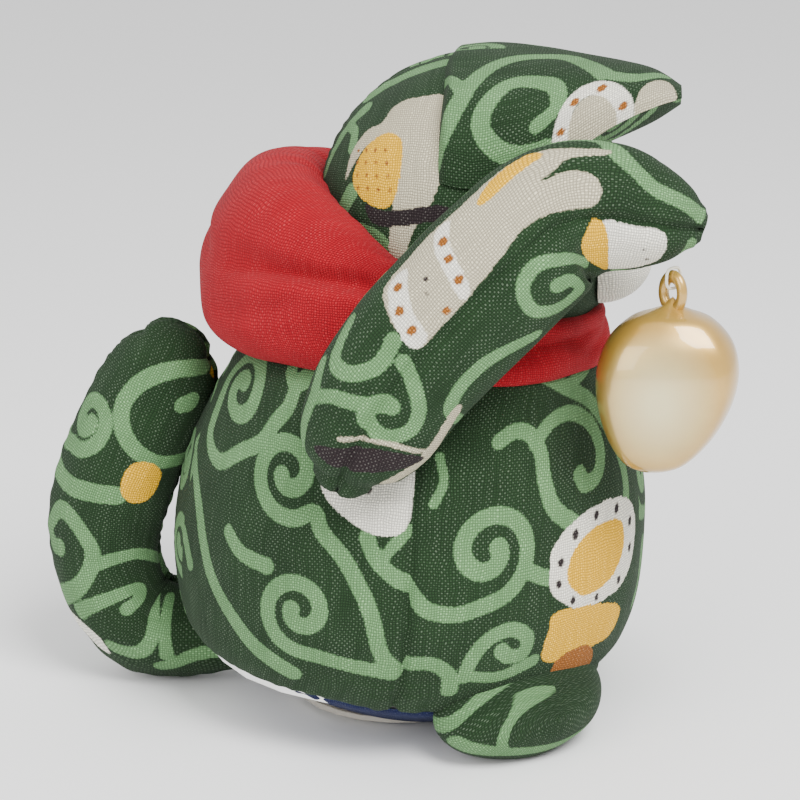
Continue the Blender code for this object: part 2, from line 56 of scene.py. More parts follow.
# Body: height, middle along Y, half depth along Y, half width along X.
BODY = (
    (8.2, 0.6, 27.6, 27.2),
    (9.8, 0.5, 29.6, 29.2),
    (13.0, -0.3, 31.6, 31.2),
    (20.0, -1.1, 33.2, 32.8),
    (28.0, -1.6, 33.3, 32.8),
    (36.0, -2.0, 31.9, 31.4),
    (43.0, -2.4, 29.4, 28.9),
    (49.0, -2.6, 26.4, 25.8),
    (53.5, -4.2, 22.8, 22.0),
    (56.6, -8.3, 18.0, 17.4),
)
BASE_LEAN = 0.12
BASE_RIM_Z = 7.9
BASE_FLAT = 0.42  # share of the base's reach that rests on the ground
BASE_POLE_Y = -7.0
SIDE_SEAM = 0.235  # parts of a turn from the front

FOOT_CENTRE, FOOT_HALF = (18.4, -18.0, 6.6), (9.0, 13.4, 7.6)  # half: outwards, sideways, up

HEAD_CENTRE = (0.0, -11.3, 70.8)
HEAD_HALF_X, HEAD_BACK, HEAD_FRONT, HEAD_UP, HEAD_DOWN = 22.6, 22.1, 19.3, 21.6, 22.6
NECK_Z = 57.5
NECK_STITCH_Y = -9.5

# Upper jaw: place along Y, half width, height of the edge seam, height of the top, underside drop.
SNOUT = (
    (-6.0, 21.4, 78.4, 92.8, 0.0),
    (-12.0, 22.2, 77.6, 93.6, 0.6),
    (-19.0, 19.4, 79.2, 93.1, 1.5),
    (-25.0, 15.6, 82.2, 92.3, 2.8),
    (-30.0, 11.8, 84.8, 91.4, 3.4),
    (-34.5, 7.8, 86.4, 90.2, 2.9),
    (-38.0, 3.4, 87.0, 88.2, 1.2),
)
JAW_CENTRE, JAW_HALF = (0.0, -27.6, 64.6), (10.6, 7.2, 6.0)

# Tail: place along Y, height, half width across the curl, half width along X.
TAIL_X = 1.5
TAIL = (
    (23.0, 7.6, 5.2, 5.4),
    (29.5, 7.6, 6.6, 6.6),
    (34.0, 7.7, 7.3, 7.3),
    (38.2, 9.0, 7.5, 7.5),
    (41.2, 12.6, 7.5, 7.7),
    (42.9, 18.0, 7.7, 7.9),
    (43.0, 24.0, 8.1, 8.0),
    (41.6, 30.0, 8.4, 8.1),
    (39.4, 35.6, 8.5, 8.1),
    (36.8, 40.6, 8.3, 7.9),
    (34.5, 45.2, 8.1, 7.4),
    (33.0, 48.6, 7.0, 6.2),
    (32.2, 50.6, 4.6, 4.0),
)

# Arms: distance from the middle along X, place along Y, height.
RAISED_ARM = (
    (34.2, 3.6, 42.9),
    (34.2, 2.6, 45.4),
    (34.0, 0.2, 50.0),
    (33.4, -4.4, 57.0),
    (32.4, -11.2, 64.6),
    (30.8, -17.7, 71.0),
    (28.0, -23.2, 75.3),
    (25.2, -28.4, 75.9),
    (23.8, -33.6, 74.9),
    (23.0, -38.0, 73.9),
    (22.6, -40.6, 73.2),
)
LOWERED_ARM = (
    (30.0, 3.4, 56.0),
    (31.6, 2.8, 53.4),
    (34.8, 1.2, 48.2),
    (38.2, -1.9, 40.6),
    (39.6, -6.1, 31.6),
    (38.6, -10.8, 24.2),
    (36.0, -16.0, 19.6),
    (32.8, -21.4, 17.4),
    (29.8, -26.6, 16.6),
    (27.4, -30.8, 15.8),
    (26.4, -33.2, 15.4),
)
ARM_HALF_WIDTH = (4.2, 7.2, 8.9, 9.7, 9.9, 9.8, 9.2, 8.5, 7.1, 4.9, 2.2)
ARM_HALF_DEPTH = (3.4, 5.4, 6.4, 6.9, 7.0, 6.9, 6.7, 6.4, 5.6, 4.2, 2.0)
SHOULDER = (1.5, 48.0)

# Neckerchief, by every tenth of a turn from the front: lower edge, upper edge, how far it stands out.
NECKERCHIEF = (
    (51.0, 58.2, 1.9),
    (51.0, 58.6, 1.9),
    (51.2, 60.2, 2.4),
    (52.4, 64.8, 2.6),
)
NECK_ROOM = 0.6
BUNDLE_START = 0.27  # part of a turn from the front where the puff starts
BAND_END = 0.285  # and where the band under it ends
# The puff's section at each twentieth of a turn from the side to the back, from its lower inner
# edge out, over the fold and up to the edge at the head: distance from the neck's middle, height.
PUFF = (
    ((21.5, 52.4), (24.3, 52.8), (25.2, 56.6), (25.2, 60.5), (24.9, 62.4), (24.6, 64.0), (24.0, 65.0),
        (22.8, 65.0), (20.5, 63.5)),
    ((22.5, 52.9), (25.4, 53.2), (26.6, 57.2), (26.9, 62.4), (25.5, 64.2), (25.4, 66.4), (24.7, 68.0),
        (23.0, 68.2), (20.5, 66.5)),
    ((24.0, 53.0), (27.3, 53.2), (29.0, 57.0), (29.3, 63.2), (26.9, 65.0), (27.6, 67.9), (26.4, 71.6),
        (23.4, 72.6), (20.0, 70.0)),
    ((25.5, 52.6), (29.8, 52.8), (32.6, 56.5), (32.6, 63.6), (30.4, 65.6), (31.2, 69.4), (28.6, 75.0),
        (23.6, 76.3), (19.2, 72.5)),
    ((26.6, 52.2), (32.0, 52.2), (35.6, 55.9), (35.8, 62.6), (34.9, 65.4), (34.2, 70.6), (29.9, 76.9),
        (23.0, 77.9), (18.6, 74.0)),
    ((27.0, 52.0), (32.6, 51.9), (37.0, 55.9), (37.7, 61.8), (37.0, 65.6), (35.0, 71.2), (30.0, 77.2),
        (22.6, 78.2), (18.4, 74.5)),
)

# Hanging drop: height above its tip, radius.
DROP = (
    (0.0, 0.0),
    (0.35, 1.9),
    (1.7, 4.4),
    (5.2, 7.0),
    (9.6, 8.7),
    (13.8, 9.1),
    (17.6, 8.0),
    (20.4, 5.4),
    (21.6, 2.6),
    (22.2, 1.3),
    (23.4, 0.0),
)
DROP_FLATTEN = 0.86
DROP_TIP_SHIFT = 2.0
HANG = (-23.2, -37.4)
DROP_TIP_Z = 41.0
EYE_TURN = math.radians(45)
EYE_RING, EYE_WIRE, EYE_Z = 1.9, 0.75, 64.9

# ---------------------------------------------------------------- small tools


def along(table, places):
    """Rows read from a table on a smooth curve through its own rows; places run from 0 to 1."""
    rows = np.asarray(table, float)
    rows = rows.reshape(len(rows), -1)
    return smooth_curve(lambda index: rows[index], len(rows), places)


def across(rows, places):
    """The same within each place's own rows, which are the last axis but one."""

    def pick(index):
        return np.take_along_axis(rows, index[..., None, None], axis=-2)[..., 0, :]

    return smooth_curve(pick, rows.shape[-2], places)


def smooth_curve(pick, count, places):
    at = np.clip(np.asarray(places, float), 0.0, 1.0) * (count - 1)
    start = np.minimum(at.astype(int), count - 2)
    t = (at - start)[..., None]
    before, first = pick(np.maximum(start - 1, 0)), pick(start)
    second, after = pick(start + 1), pick(np.minimum(start + 2, count - 1))
    slope_in, slope_out = (second - before) / 2, (after - first) / 2
    return (
        (2 * t**3 - 3 * t**2 + 1) * first
        + (t**3 - 2 * t**2 + t) * slope_in
        + (3 * t**2 - 2 * t**3) * second
        + (t**3 - t**2) * slope_out
    )


def stacked(x, y, z):
    return np.stack(np.broadcast_arrays(x, y, z), axis=-1)


def fade(value, start, end):
    """0 before start, 1 after end, smooth between them."""
    t = np.clip((value - start) / (end - start), 0, 1)
    return t * t * (3 - 2 * t)


def lumps(points, size, seed):
    """Smooth noise from -1 to 1 over points, with bumps of about this size."""
    draw = np.random.default_rng(seed)
    total = np.zeros(points.shape[:-1])
    for _ in range(9):
        way = draw.normal(size=points.shape[-1])
        way *= 2 * math.pi / size * draw.uniform(0.6, 1.3) / np.linalg.norm(way)
        total += np.sin(points @ way + draw.uniform(0, 2 * math.pi))
    return total / 4.5


def wander(place, size, seed):
    """Smooth noise from -1 to 1 along one line."""
    return lumps(np.asarray(place, float)[..., None], size, seed)


# ---------------------------------------------------------------- surfaces: (turn, place) -> points


def body_skin(turn, place):
    row = along(BODY, place)
    z, middle, depth, width = row[..., 0], row[..., 1], row[..., 2], row[..., 3]
    angle = 2 * math.pi * turn
    y = middle - depth * np.cos(angle)
    lean = BASE_LEAN * (y - middle) * (1 - np.clip(place, 0, 1)) ** 3
    return stacked(-width * np.sin(angle), y, z + lean)


def base_skin(turn, place):
    rim = body_skin(turn, np.zeros_like(turn))
    rise = np.clip((place - BASE_FLAT) / (1 - BASE_FLAT), 0, 1) ** 1.25
    middle = np.array([0.0, BASE_POLE_Y, 0.0])
    flat = middle + (rim * [1, 1, 0] - middle) * place[..., None]
    height = rise * (BASE_RIM_Z - BODY[0][0] + rim[..., 2])
    return stacked(flat[..., 0], flat[..., 1], height)


def ball(centre, half, turn, place):
    angle, polar = 2 * math.pi * turn, math.pi * place
    unit = stacked(np.sin(polar) * np.sin(angle), -np.cos(polar), np.sin(polar) * np.cos(angle))
    return np.asarray(centre) + unit * half


def head_skin(turn, place):
    points = ball((0, 0, 0), (1, 1, 1), turn, place)
    x, y, z = points[..., 0], points[..., 1], points[..., 2]
    y = np.where(y > 0, y * HEAD_BACK, y * HEAD_FRONT)
    z = np.where(z > 0, z * HEAD_UP, z * HEAD_DOWN)
    points = stacked(x * HEAD_HALF_X, y, z) + HEAD_CENTRE
    return np.maximum(points, (-1e3, -1e3, NECK_Z - 1))


def tube_skin(centres, half_width, half_depth):
    def skin(turn, place):
        middle = along(centres, place)
        step = 0.01
        ahead = along(centres, place + step) - along(centres, place - step)
        length = np.hypot(ahead[..., 1], ahead[..., 2])
        normal = stacked(0.0, -ahead[..., 2] / length, ahead[..., 1] / length)
        angle = 2 * math.pi * turn
        wide = along(half_width, place) * np.cos(angle)[..., None]
        deep = along(half_depth, place)[..., 0] * np.sin(angle)
        return middle + wide * normal + stacked(deep, 0.0, 0.0)

    return skin


def body_reach(points, room):
    heights = np.array([row[0] for row in BODY])
    spread = np.linspace(0, 1, len(BODY))
    place = np.interp(points[..., 2], heights, spread)
    lean = BASE_LEAN * (points[..., 1] - along(BODY, place)[..., 1]) * (1 - place) ** 3
    row = along(BODY, np.interp(points[..., 2] - lean, heights, spread))
    middle, depth, width = row[..., 1], row[..., 2] + room, row[..., 3] + room
    reach = np.hypot(points[..., 0] / width, (points[..., 1] - middle) / depth)
    above = points[..., 2] > heights[-1] + CLEAR
    return np.where(above, 1.0, np.maximum(reach, 1e-6)), middle


def outside_body(points, room):
    reach, middle = body_reach(points, room)
    scale = 1 / np.minimum(reach, 1.0)
    y = (points[..., 1] - middle) * scale + middle
    return stacked(points[..., 0] * scale, y, points[..., 2])


def head_reach(points, room):
    off = points - HEAD_CENTRE
    depth = np.where(off[..., 1] > 0, HEAD_BACK, HEAD_FRONT) + room
    height = np.where(off[..., 2] > 0, HEAD_UP, HEAD_DOWN) + room
    half = stacked(HEAD_HALF_X + room, depth, height)
    return np.maximum(np.linalg.norm(off / half, axis=-1), 1e-6)


def outside_head(points, room):
    scale = 1 / np.minimum(head_reach(points, room), 1.0)
    return HEAD_CENTRE + (points - HEAD_CENTRE) * scale[..., None]


def foot_skin(side):
    out = np.array([FOOT_CENTRE[0] * side, FOOT_CENTRE[1]])
    out /= np.linalg.norm(out)

    def skin(turn, place):
        polar, angle = math.pi * place, 2 * math.pi * turn
        reach, across = np.cos(polar), np.sin(polar) * np.sin(angle)
        up = np.sin(polar) * np.cos(angle)
        reach, across = reach * FOOT_HALF[0], across * FOOT_HALF[1]
        x = out[0] * reach - out[1] * across
        y = out[1] * reach + out[0] * across
        points = np.array(FOOT_CENTRE) * (side, 1, 1) + stacked(x, y, up * FOOT_HALF[2])
        points = np.maximum(points, (-1e3, -1e3, 0.0))
        return outside_body(points, SETTLED)

    return skin


def snout_top(wide, place):
    row = along(SNOUT, place)
    y, width, seam, top = row[..., 0], row[..., 1], row[..., 2], row[..., 3]
    arch = np.maximum(1 - np.abs(wide) ** 2.3, 0) ** (1 / 2.3)
    return drawn_in(stacked(wide * width, y, seam + (top - seam) * arch), place)


def snout_bottom(wide, place):
    row = along(SNOUT, place)
    y, width, seam, drop = row[..., 0], row[..., 1], row[..., 2], row[..., 4]
    return drawn_in(stacked(wide * width, y, seam - drop * (1 - wide**2)), place)


def drawn_in(points, place):
    """Pulls the back edge of the snout onto the head, where it is sewn down."""
    share = (1 - fade(place, 0.0, 0.075))[..., None]
    onto = HEAD_CENTRE + (points - HEAD_CENTRE) / head_reach(points, -0.5)[..., None]
    return points + (onto - points) * share


def jaw_skin(turn, place):
    return outside_head(ball(JAW_CENTRE, JAW_HALF, turn, place), SETTLED)


def tail_skin(turn, place):
    rows = np.asarray(TAIL)
    centres = [(TAIL_X, y, z) for y, z in rows[:, :2]]
    points = tube_skin(centres, rows[:, 2], rows[:, 3])(turn, place)
    share = fade(points[..., 2], 7.0, 9.5)[..., None]
    points = points + (outside_body(points, SETTLED) - points) * share
    return np.maximum(points, (-1e3, -1e3, 0.05))


def arm_skin(side, centres):
    placed = [(side * x, y, z) for x, y, z in centres]
    tube = tube_skin(placed, ARM_HALF_WIDTH, ARM_HALF_DEPTH)

    def skin(turn, place):
        points = tube(turn, place)
        from_shoulder = np.hypot(points[..., 1] - SHOULDER[0], points[..., 2] - SHOULDER[1])
        room = SETTLED + 0.06 * from_shoulder
        return outside_head(outside_body(points, room), room)

    return skin


def band_skin(turn, place):
    """The neckerchief's band, from its lower edge, out and over, to its upper edge."""
    low, high, thick = np.moveaxis(along(NECKERCHIEF, np.abs(turn) / 0.3), -1, 0)
    centre = stacked(0.0, NECK_STITCH_Y, low + (high - low) * place)
    angle = 2 * math.pi * turn
    heading = stacked(-np.sin(angle), -np.cos(angle), 0.0)
    near, far = np.zeros(heading.shape[:-1]), np.full(heading.shape[:-1], 50.0)
    for _ in range(22):
        middle = (near + far) / 2
        points = centre + heading * middle[..., None]
        inside = np.minimum(body_reach(points, NECK_ROOM)[0], head_reach(points, NECK_ROOM)) < 1
        near, far = np.where(inside, middle, near), np.where(inside, far, middle)
    round_out = np.sin(math.pi * np.clip(place, 0, 1)) ** 0.45
    return centre + heading * (far - 0.7 + (thick + 0.7) * round_out)[..., None]


def puff_skin(turn, place):
    """The full gathered part at the nape. turn runs on past the back to the other side."""
    from_front = np.where(turn > 0.5, 1 - turn, turn)
    rows = along(PUFF, (from_front - 0.25) / 0.25)
    section = across(rows.reshape(rows.shape[:-1] + (-1, 2)), place)
    angle = 2 * math.pi * turn
    out, height = section[..., 0], section[..., 1]
    return stacked(-np.sin(angle) * out, NECK_STITCH_Y - np.cos(angle) * out, height)


# ---------------------------------------------------------------- cloth


class Cloth:
    """A fine grid of points on a skin, its cloth coordinates u and v in millimetres, its relief in
    millimetres along the normal, and the print's signed distances."""

    def __init__(self, skin, turns, places, home, cell=CELL):
        columns, rows = self.counts(skin, turns, places, cell)
        self.turn, self.place = np.meshgrid(np.linspace(*turns, columns), np.linspace(*places, rows))
        self.points = skin(self.turn, self.place)
        step = np.linalg.norm(np.diff(self.points, axis=1), axis=-1)
        u = np.pad(np.cumsum(step, axis=1), ((0, 0), (1, 0)))
        column = int(np.argmin(np.abs(self.turn[0] - home)))
        self.u = u - u[:, column : column + 1]
        self.around = u[:, -1:] / (turns[1] - turns[0])
        step = np.linalg.norm(np.diff(self.points, axis=0), axis=-1)
        v = np.pad(np.cumsum(step, axis=0), ((1, 0), (0, 0))).mean(axis=1, keepdims=True)
        self.v = np.broadcast_to(v, u.shape).copy()
        self.relief = np.zeros(u.shape)
        self.marks = {}

    @staticmethod
    def counts(skin, turns, places, cell):
        points = skin(*np.meshgrid(np.linspace(*turns, 60), np.linspace(*places, 40)))
        around = np.linalg.norm(np.diff(points, axis=1), axis=-1).sum(axis=1).max()
        length = np.linalg.norm(np.diff(points, axis=0), axis=-1).sum(axis=0).max()
        return int(around / cell) + 2, int(length / cell) + 2

    def uneven(self, size, height, seed):
        """The soft lumps of a hand-stuffed piece."""
        self.relief += height * lumps(self.points, size, seed)

    def seam(self, across, run, seed, depth=0.75, width=0.55, pucker=0.2, pitch=2.9, reach=3.4):
        """A sewn seam where across is 0: a groove, swollen shoulders, and small puckers along run."""
        off = np.abs(across)
        self.relief -= depth * np.exp(-((off / width) ** 2))
        phase = run / pitch + 0.35 * wander(run, 9.0, seed) + 0.18 * (across > 0)
        strength = 0.55 + 0.45 * wander(run, 14.0, seed + 1)
        waves = np.sin(2 * math.pi * phase) * strength
        self.relief += pucker * waves * np.exp(-off / reach) * fade(off, 0.0, 0.9)
        self.relief += 0.22 * np.exp(-(((off - 2.1) / 1.5) ** 2))

    def crease(self, start, end, depth, width, bend=0.0):
        """A fold line in cloth coordinates, with a soft ridge along both sides."""
        start, end = np.array(start, float), np.array(end, float)
        run = end - start
        length = np.linalg.norm(run)
        way = run / length
        off_u, off_v = self.u - start[0], self.v - start[1]
        t = (off_u * way[0] + off_v * way[1]) / length
        across = off_u * way[1] - off_v * way[0] - bend * 4 * t * (1 - t)
        ends = fade(t, -0.12, 0.22) * (1 - fade(t, 0.72, 1.12))
        self.relief -= depth * ends * np.exp(-((across / width) ** 2))
        ridge = np.exp(-(((np.abs(across) - 1.9 * width) / width) ** 2))
        self.relief += 0.35 * depth * ends * ridge

    def close_ends(self, first=True, last=True, rise=0.7):
        """Rounds each open end off with a few rings that shrink to its middle."""
        for chosen, edge, inner in ((first, 0, 3), (last, -1, -4)):
            if not chosen:
                continue
            rim = self.points[edge]
            middle = rim.mean(axis=0)
            radius = np.linalg.norm(rim - middle, axis=1).mean()
            out = middle - self.points[inner].mean(axis=0)
            out *= rise * radius / max(np.linalg.norm(out), 1e-6)
            angles = np.radians((24, 46, 66, 80, 89.9))
            rings = [middle + (rim - middle) * math.cos(a) + out * math.sin(a) for a in angles]
            steps = np.sin(angles)[:, None] * radius
            if edge == 0:
                rings, steps = rings[::-1], -steps[::-1]
            rings = np.stack(rings)
            self.points = self.joined(self.points, rings, edge)
            self.u = self.joined(self.u, np.repeat(self.u[edge][None], len(angles), 0), edge)
            self.v = self.joined(self.v, self.v[edge][None] + steps, edge)
            for name in ("turn", "place", "relief", "around"):
                grid = getattr(self, name)
                setattr(self, name, self.joined(grid, np.repeat(grid[edge][None], len(angles), 0), edge))

    @staticmethod
    def joined(grid, rows, edge):
        return np.concatenate([rows, grid] if edge == 0 else [grid, rows])

    def normals(self):
        across = np.gradient(self.points, axis=1)
        ahead = np.gradient(self.points, axis=0)
        normal = np.cross(across, ahead)
        normal /= np.maximum(np.linalg.norm(normal, axis=-1, keepdims=True), 1e-9)
        middle = self.points.mean(axis=(0, 1))
        if ((self.points - middle) * normal).sum() < 0:
            normal = -normal
        return normal

    def shaped(self):
        return self.points + self.normals() * self.relief[..., None]


def grid_faces(rows, columns):
    start = np.arange(rows - 1)[:, None] * columns + np.arange(columns - 1)[None]
    return np.stack([start, start + 1, start + 1 + columns, start + columns], axis=-1).reshape(-1, 4)


def mesh_object(name, points, faces, look, smooth=True):
    """points are millimetres."""
    mesh = bpy.data.meshes.new(name)
    mesh.from_pydata((np.asarray(points) * MM).tolist(), [], np.asarray(faces).tolist())
    mesh.validate()
    if smooth:
        mesh.shade_smooth()
    mesh.materials.append(look)
    made = bpy.data.objects.new(name, mesh)
    bpy.context.scene.collection.objects.link(made)
    return made


def cloth_object(name, cloth, look, body, nodes, slot, fill=None):
    """The visible piece made from a Cloth, riding on its body in place of its CAD nodes."""
    points = cloth.shaped()
    rows, columns = points.shape[:2]
    faces = grid_faces(rows, columns)
    flat = points.reshape(-1, 3)
    corner = flat[faces]
    face_normal = np.cross(corner[:, 2] - corner[:, 0], corner[:, 3] - corner[:, 1])
    if (face_normal * cloth.normals().reshape(-1, 3)[faces[:, 0]]).sum() < 0:
        faces = faces[:, ::-1]
    made = mesh_object(name, flat, faces, look)
    mesh = made.data
    coordinates = mesh.attributes.new("cloth", "FLOAT_VECTOR", "POINT")
    flat_uv = stacked(cloth.u, cloth.v, 0.0).reshape(-1)
    coordinates.data.foreach_set("vector", flat_uv.astype(np.float32))
    for mark in MARKS:
        values = cloth.marks.get(mark)
        values = np.full(cloth.u.shape, 9.0) if values is None else values
        layer = mesh.attributes.new(mark, "FLOAT", "POINT")
        layer.data.foreach_set("value", values.reshape(-1).astype(np.float32))
    return placed(made, body, nodes, slot, fill)


def placed(made, body, nodes, slot, fill=None):
    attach(made, body)
    for node in nodes:
        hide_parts(node)
    return made


# ---------------------------------------------------------------- print

MARKS = ("scroll", "dark", "tan", "pale", "gold", "ink")


def stroke_path(points, step=0.45):
    points = np.asarray(points, float)
    length = np.linalg.norm(np.diff(points, axis=0), axis=1).sum()
    return along(points, np.linspace(0, 1, max(int(length / step), 3)))


def spiral(centre, radius, start, turns, hand, stem=(), inner=0.2):
    """A curl: stem points that run into a spiral. start is its outer end's heading in degrees from
    +u towards +v, hand is 1 where it winds from +u towards +v, radius is its outer radius."""
    count = max(int(turns * 14), 4)
    t = np.linspace(0, 1, count)
    angle = math.radians(start) + hand * 2 * math.pi * turns * t
    reach = radius * (1 - (1 - inner) * t**0.85)
    curl = np.stack([centre[0] + reach * np.cos(angle), centre[1] + reach * np.sin(angle)], axis=-1)
    points = [*np.reshape(stem, (-1, 2)), *curl] if len(stem) else curl
    return stroke_path(points)


def mark_field(cloth, mark):
    if mark not in cloth.marks:
        cloth.marks[mark] = np.full(cloth.u.shape, 9.0)
    return cloth.marks[mark]


def add_path(cloth, mark, path, half, where):
    """Adds a stroke of this half width, only where the mask where is set."""
    field = mark_field(cloth, mark)
    low, high = path.min(axis=0) - half - 1.2, path.max(axis=0) + half + 1.2
    near = where & (cloth.u > low[0]) & (cloth.u < high[0]) & (cloth.v > low[1]) & (cloth.v < high[1])
    if not near.any():
        return
    off_u = cloth.u[near][:, None] - path[None, :, 0]
    off_v = cloth.v[near][:, None] - path[None, :, 1]
    width = half * (0.86 + 0.14 * np.linspace(0, 1, len(path)) ** 2)
    distance = (np.hypot(off_u, off_v) - width).min(axis=1)
    field[near] = np.minimum(field[near], distance)


def add_patch(cloth, mark, outline, where):
    """Adds a closed patch whose given outline is smoothed."""
    field = mark_field(cloth, mark)
    ring = np.asarray([*outline, *outline, *outline], float)
    count = len(outline)
    places = np.linspace(count, 2 * count, count * 10, endpoint=False) / (len(ring) - 1)
    path = along(ring, places)
    low, high = path.min(axis=0) - 1.2, path.max(axis=0) + 1.2
    near = where & (cloth.u > low[0]) & (cloth.u < high[0]) & (cloth.v > low[1]) & (cloth.v < high[1])
    if not near.any():
        return
    u, v = cloth.u[near][:, None], cloth.v[near][:, None]
    a, b = path, np.roll(path, -1, axis=0)
    distance = np.hypot(u - a[None, :, 0], v - a[None, :, 1]).min(axis=1)
    crosses = (a[:, 1] > v) != (b[:, 1] > v)
    climb = np.where(b[:, 1] == a[:, 1], 1e-9, b[:, 1] - a[:, 1])
    reach = a[:, 0] + (v - a[:, 1]) * (b[:, 0] - a[:, 0]) / climb
    inside = (crosses & (u < reach)).sum(axis=1) % 2 == 1
    field[near] = np.minimum(field[near], np.where(inside, -distance, distance))


def add_dots(cloth, mark, dots, where):
    for u, v, radius in dots:
        field = mark_field(cloth, mark)
        distance = np.hypot(cloth.u - u, (cloth.v - v) * 0.85) - radius
        field[where] = np.minimum(field, distance)[where]


# Soft folds in the puff, in its cloth coordinates: start, end, depth.
PUFF_FOLDS = (
    ((-26, 34), (-10, 38), 0.5),
    ((-20, 42), (-8, 44), 0.4),
    ((24, 33), (9, 38), 0.5),
    ((30, 14), (12, 12), 0.4),
    ((-30, 14), (-12, 12), 0.4),
    ((6, 20), (-9, 18), 0.3),
)


def add_print(cloth, where, curls=(), strokes=(), patches=(), dots=()):
    """Puts the listed marks on the part of a cloth where the mask is set."""
    for curl in curls:
        add_path(cloth, "scroll", spiral(*curl), 1.3, where)
    for mark, half, points in strokes:
        add_path(cloth, mark, stroke_path(points), half, where)
    for mark, outline in patches:
        add_patch(cloth, mark, outline, where)
    for mark, places in dots:
        add_dots(cloth, mark, places, where)


# The marks below are in each piece's own cloth coordinates, u across and v along, in millimetres.
# A curl is (centre, radius, start, turns, hand, stem), a stroke is (mark, half width, points).

BODY_BACK_PRINT = {
    "curls": (
        ((15, 34.5), 6.6, 225, 1.3, 1, ((-1.5, 9.5), (0.3, 12), (1.8, 17), (3.5, 20.5), (6, 24.5),
            (9, 27.5))),
        ((11.8, 16.2), 6.1, 270, 1.25, 1, ((-2, 8.8), (3, 9.2), (8, 9.8))),
        (
            (26.5, 43),
            6.2,
            340,
            1.35,
            1,
            ((14, 49), (15.5, 46.5), (16, 43), (18, 40.5), (20.3, 37.5), (24, 35.5), (29, 33),
                (33.4, 35.5)),
        ),
    ),
    "strokes": (
        ("scroll", 1.2, ((24.5, 24.5), (21.5, 22.4), (17, 21.6))),
        ("scroll", 1.3, ((38, 31), (33.5, 26.5), (30.5, 21.5), (27.5, 17), (23, 12.5), (18.5, 9), (12, 6))),
        ("scroll", 1.2, ((41, 21), (37.5, 20.5), (34.5, 17))),
        ("scroll", 1.1, ((16.5, 52), (17.8, 48.5), (16, 46.2), (13.8, 47), (12.6, 50))),
        ("scroll", 1.2, ((3, 27.5), (1.6, 24.5), (-1, 22.3), (-4, 21))),
        ("scroll", 0.9, ((1.5, 24), (-0.5, 26.4), (-2.2, 28.5))),
    ),
    "patches": (
        (
            "pale",
            (
                (10.5, 36.5), (6, 37.5), (1, 38.5), (-2.4, 38), (-2.6, 33), (-2.3, 29.5),
                (-0.6, 27.8), (2.8, 28), (6.5, 30), (9, 32), (10.3, 34.5),
            ),
        ),
    ),
    "dots": (("dark", ((3.4, 33.6, 0.55), (7.2, 34.8, 0.4))),),
}

BODY_FRONT_PRINT = {
    "curls": (((-13, 25.5), 7.0, 270, 1.3, -1, ((-2.6, 21), (-5.2, 18.2), (-9, 17.4))),),
    "strokes": (
        ("scroll", 1.2, ((-19, 22.3), (-22, 21), (-26, 20.6))),
        ("scroll", 1.2, ((-13.5, 39.5), (-15.7, 40.6), (-18, 40), (-19.8, 37.5), (-20.7, 33.5),
            (-22.5, 29.8), (-26.5, 27))),
        ("scroll", 1.2, ((-19, 38.6), (-21.5, 41), (-25.5, 41.6), (-29.5, 39.6), (-31.4, 36),
            (-30.6, 32.8), (-28, 32), (-26.8, 33.4))),
        ("scroll", 1.2, ((-19.5, 47.5), (-24, 45.3), (-30, 42.4), (-34, 38), (-37, 34), (-38.5, 30),
            (-38, 26))),
        ("scroll", 1.1, ((-24, 45.3), (-29, 46.4), (-34, 49))),
        ("scroll", 1.15, ((-11, 8.2), (-12, 11.5), (-14, 14), (-17, 14.9), (-19.4, 13.4), (-19, 11.2),
            (-17, 11), (-15.8, 12))),
        ("scroll", 1.0, ((-11.5, 8.4), (-16, 8), (-21, 9.6))),
        ("scroll", 1.15, ((-2.4, 10), (-6, 10.4), (-8.8, 8.8), (-9.4, 6))),
        ("scroll", 0.7, ((-5.5, 38), (-6.3, 34.8), (-5.3, 32))),
    ),
    "patches": (
        (
            "pale",
            (
                (-22.4, 21.5), (-22.7, 24.5), (-25.5, 27.2), (-30.5, 28.8), (-37, 28.4), (-41.5, 25.5),
                (-42, 20.5), (-39, 17), (-34, 15.6), (-28, 15.8), (-24.2, 17.6), (-22.6, 19.3),
            ),
        ),
        ("gold", ((-25.6, 19.8), (-25.8, 22.6), (-28, 25), (-32, 26.2), (-37, 25.3), (-38, 21.5),
            (-35, 18.2), (-29, 17.3))),
        ("gold", ((-24, 16.2), (-34, 15), (-38.5, 13), (-37, 9.5), (-32, 8.8), (-28, 8.4), (-24, 8.6),
            (-22.3, 10), (-22.8, 13.6))),
        ("ink", ((-25.5, 8.8), (-30, 9.8), (-33, 8.2), (-33, 5), (-27, 4.6), (-24.5, 6))),
    ),
    "dots": (
        (
            "dark",
            (
                (-24.2, 22.6, 0.55), (-24, 19.8, 0.5), (-26.6, 25.8, 0.6), (-30.6, 27.5, 0.55),
                    (-35.4, 27.3, 0.6),
                (-39.8, 24.6, 0.6), (-40.2, 21, 0.55), (-37.2, 17.4, 0.5), (-31.8, 16.4, 0.5),
                    (-26.6, 17.2, 0.5),
            ),
        ),
    ),
}

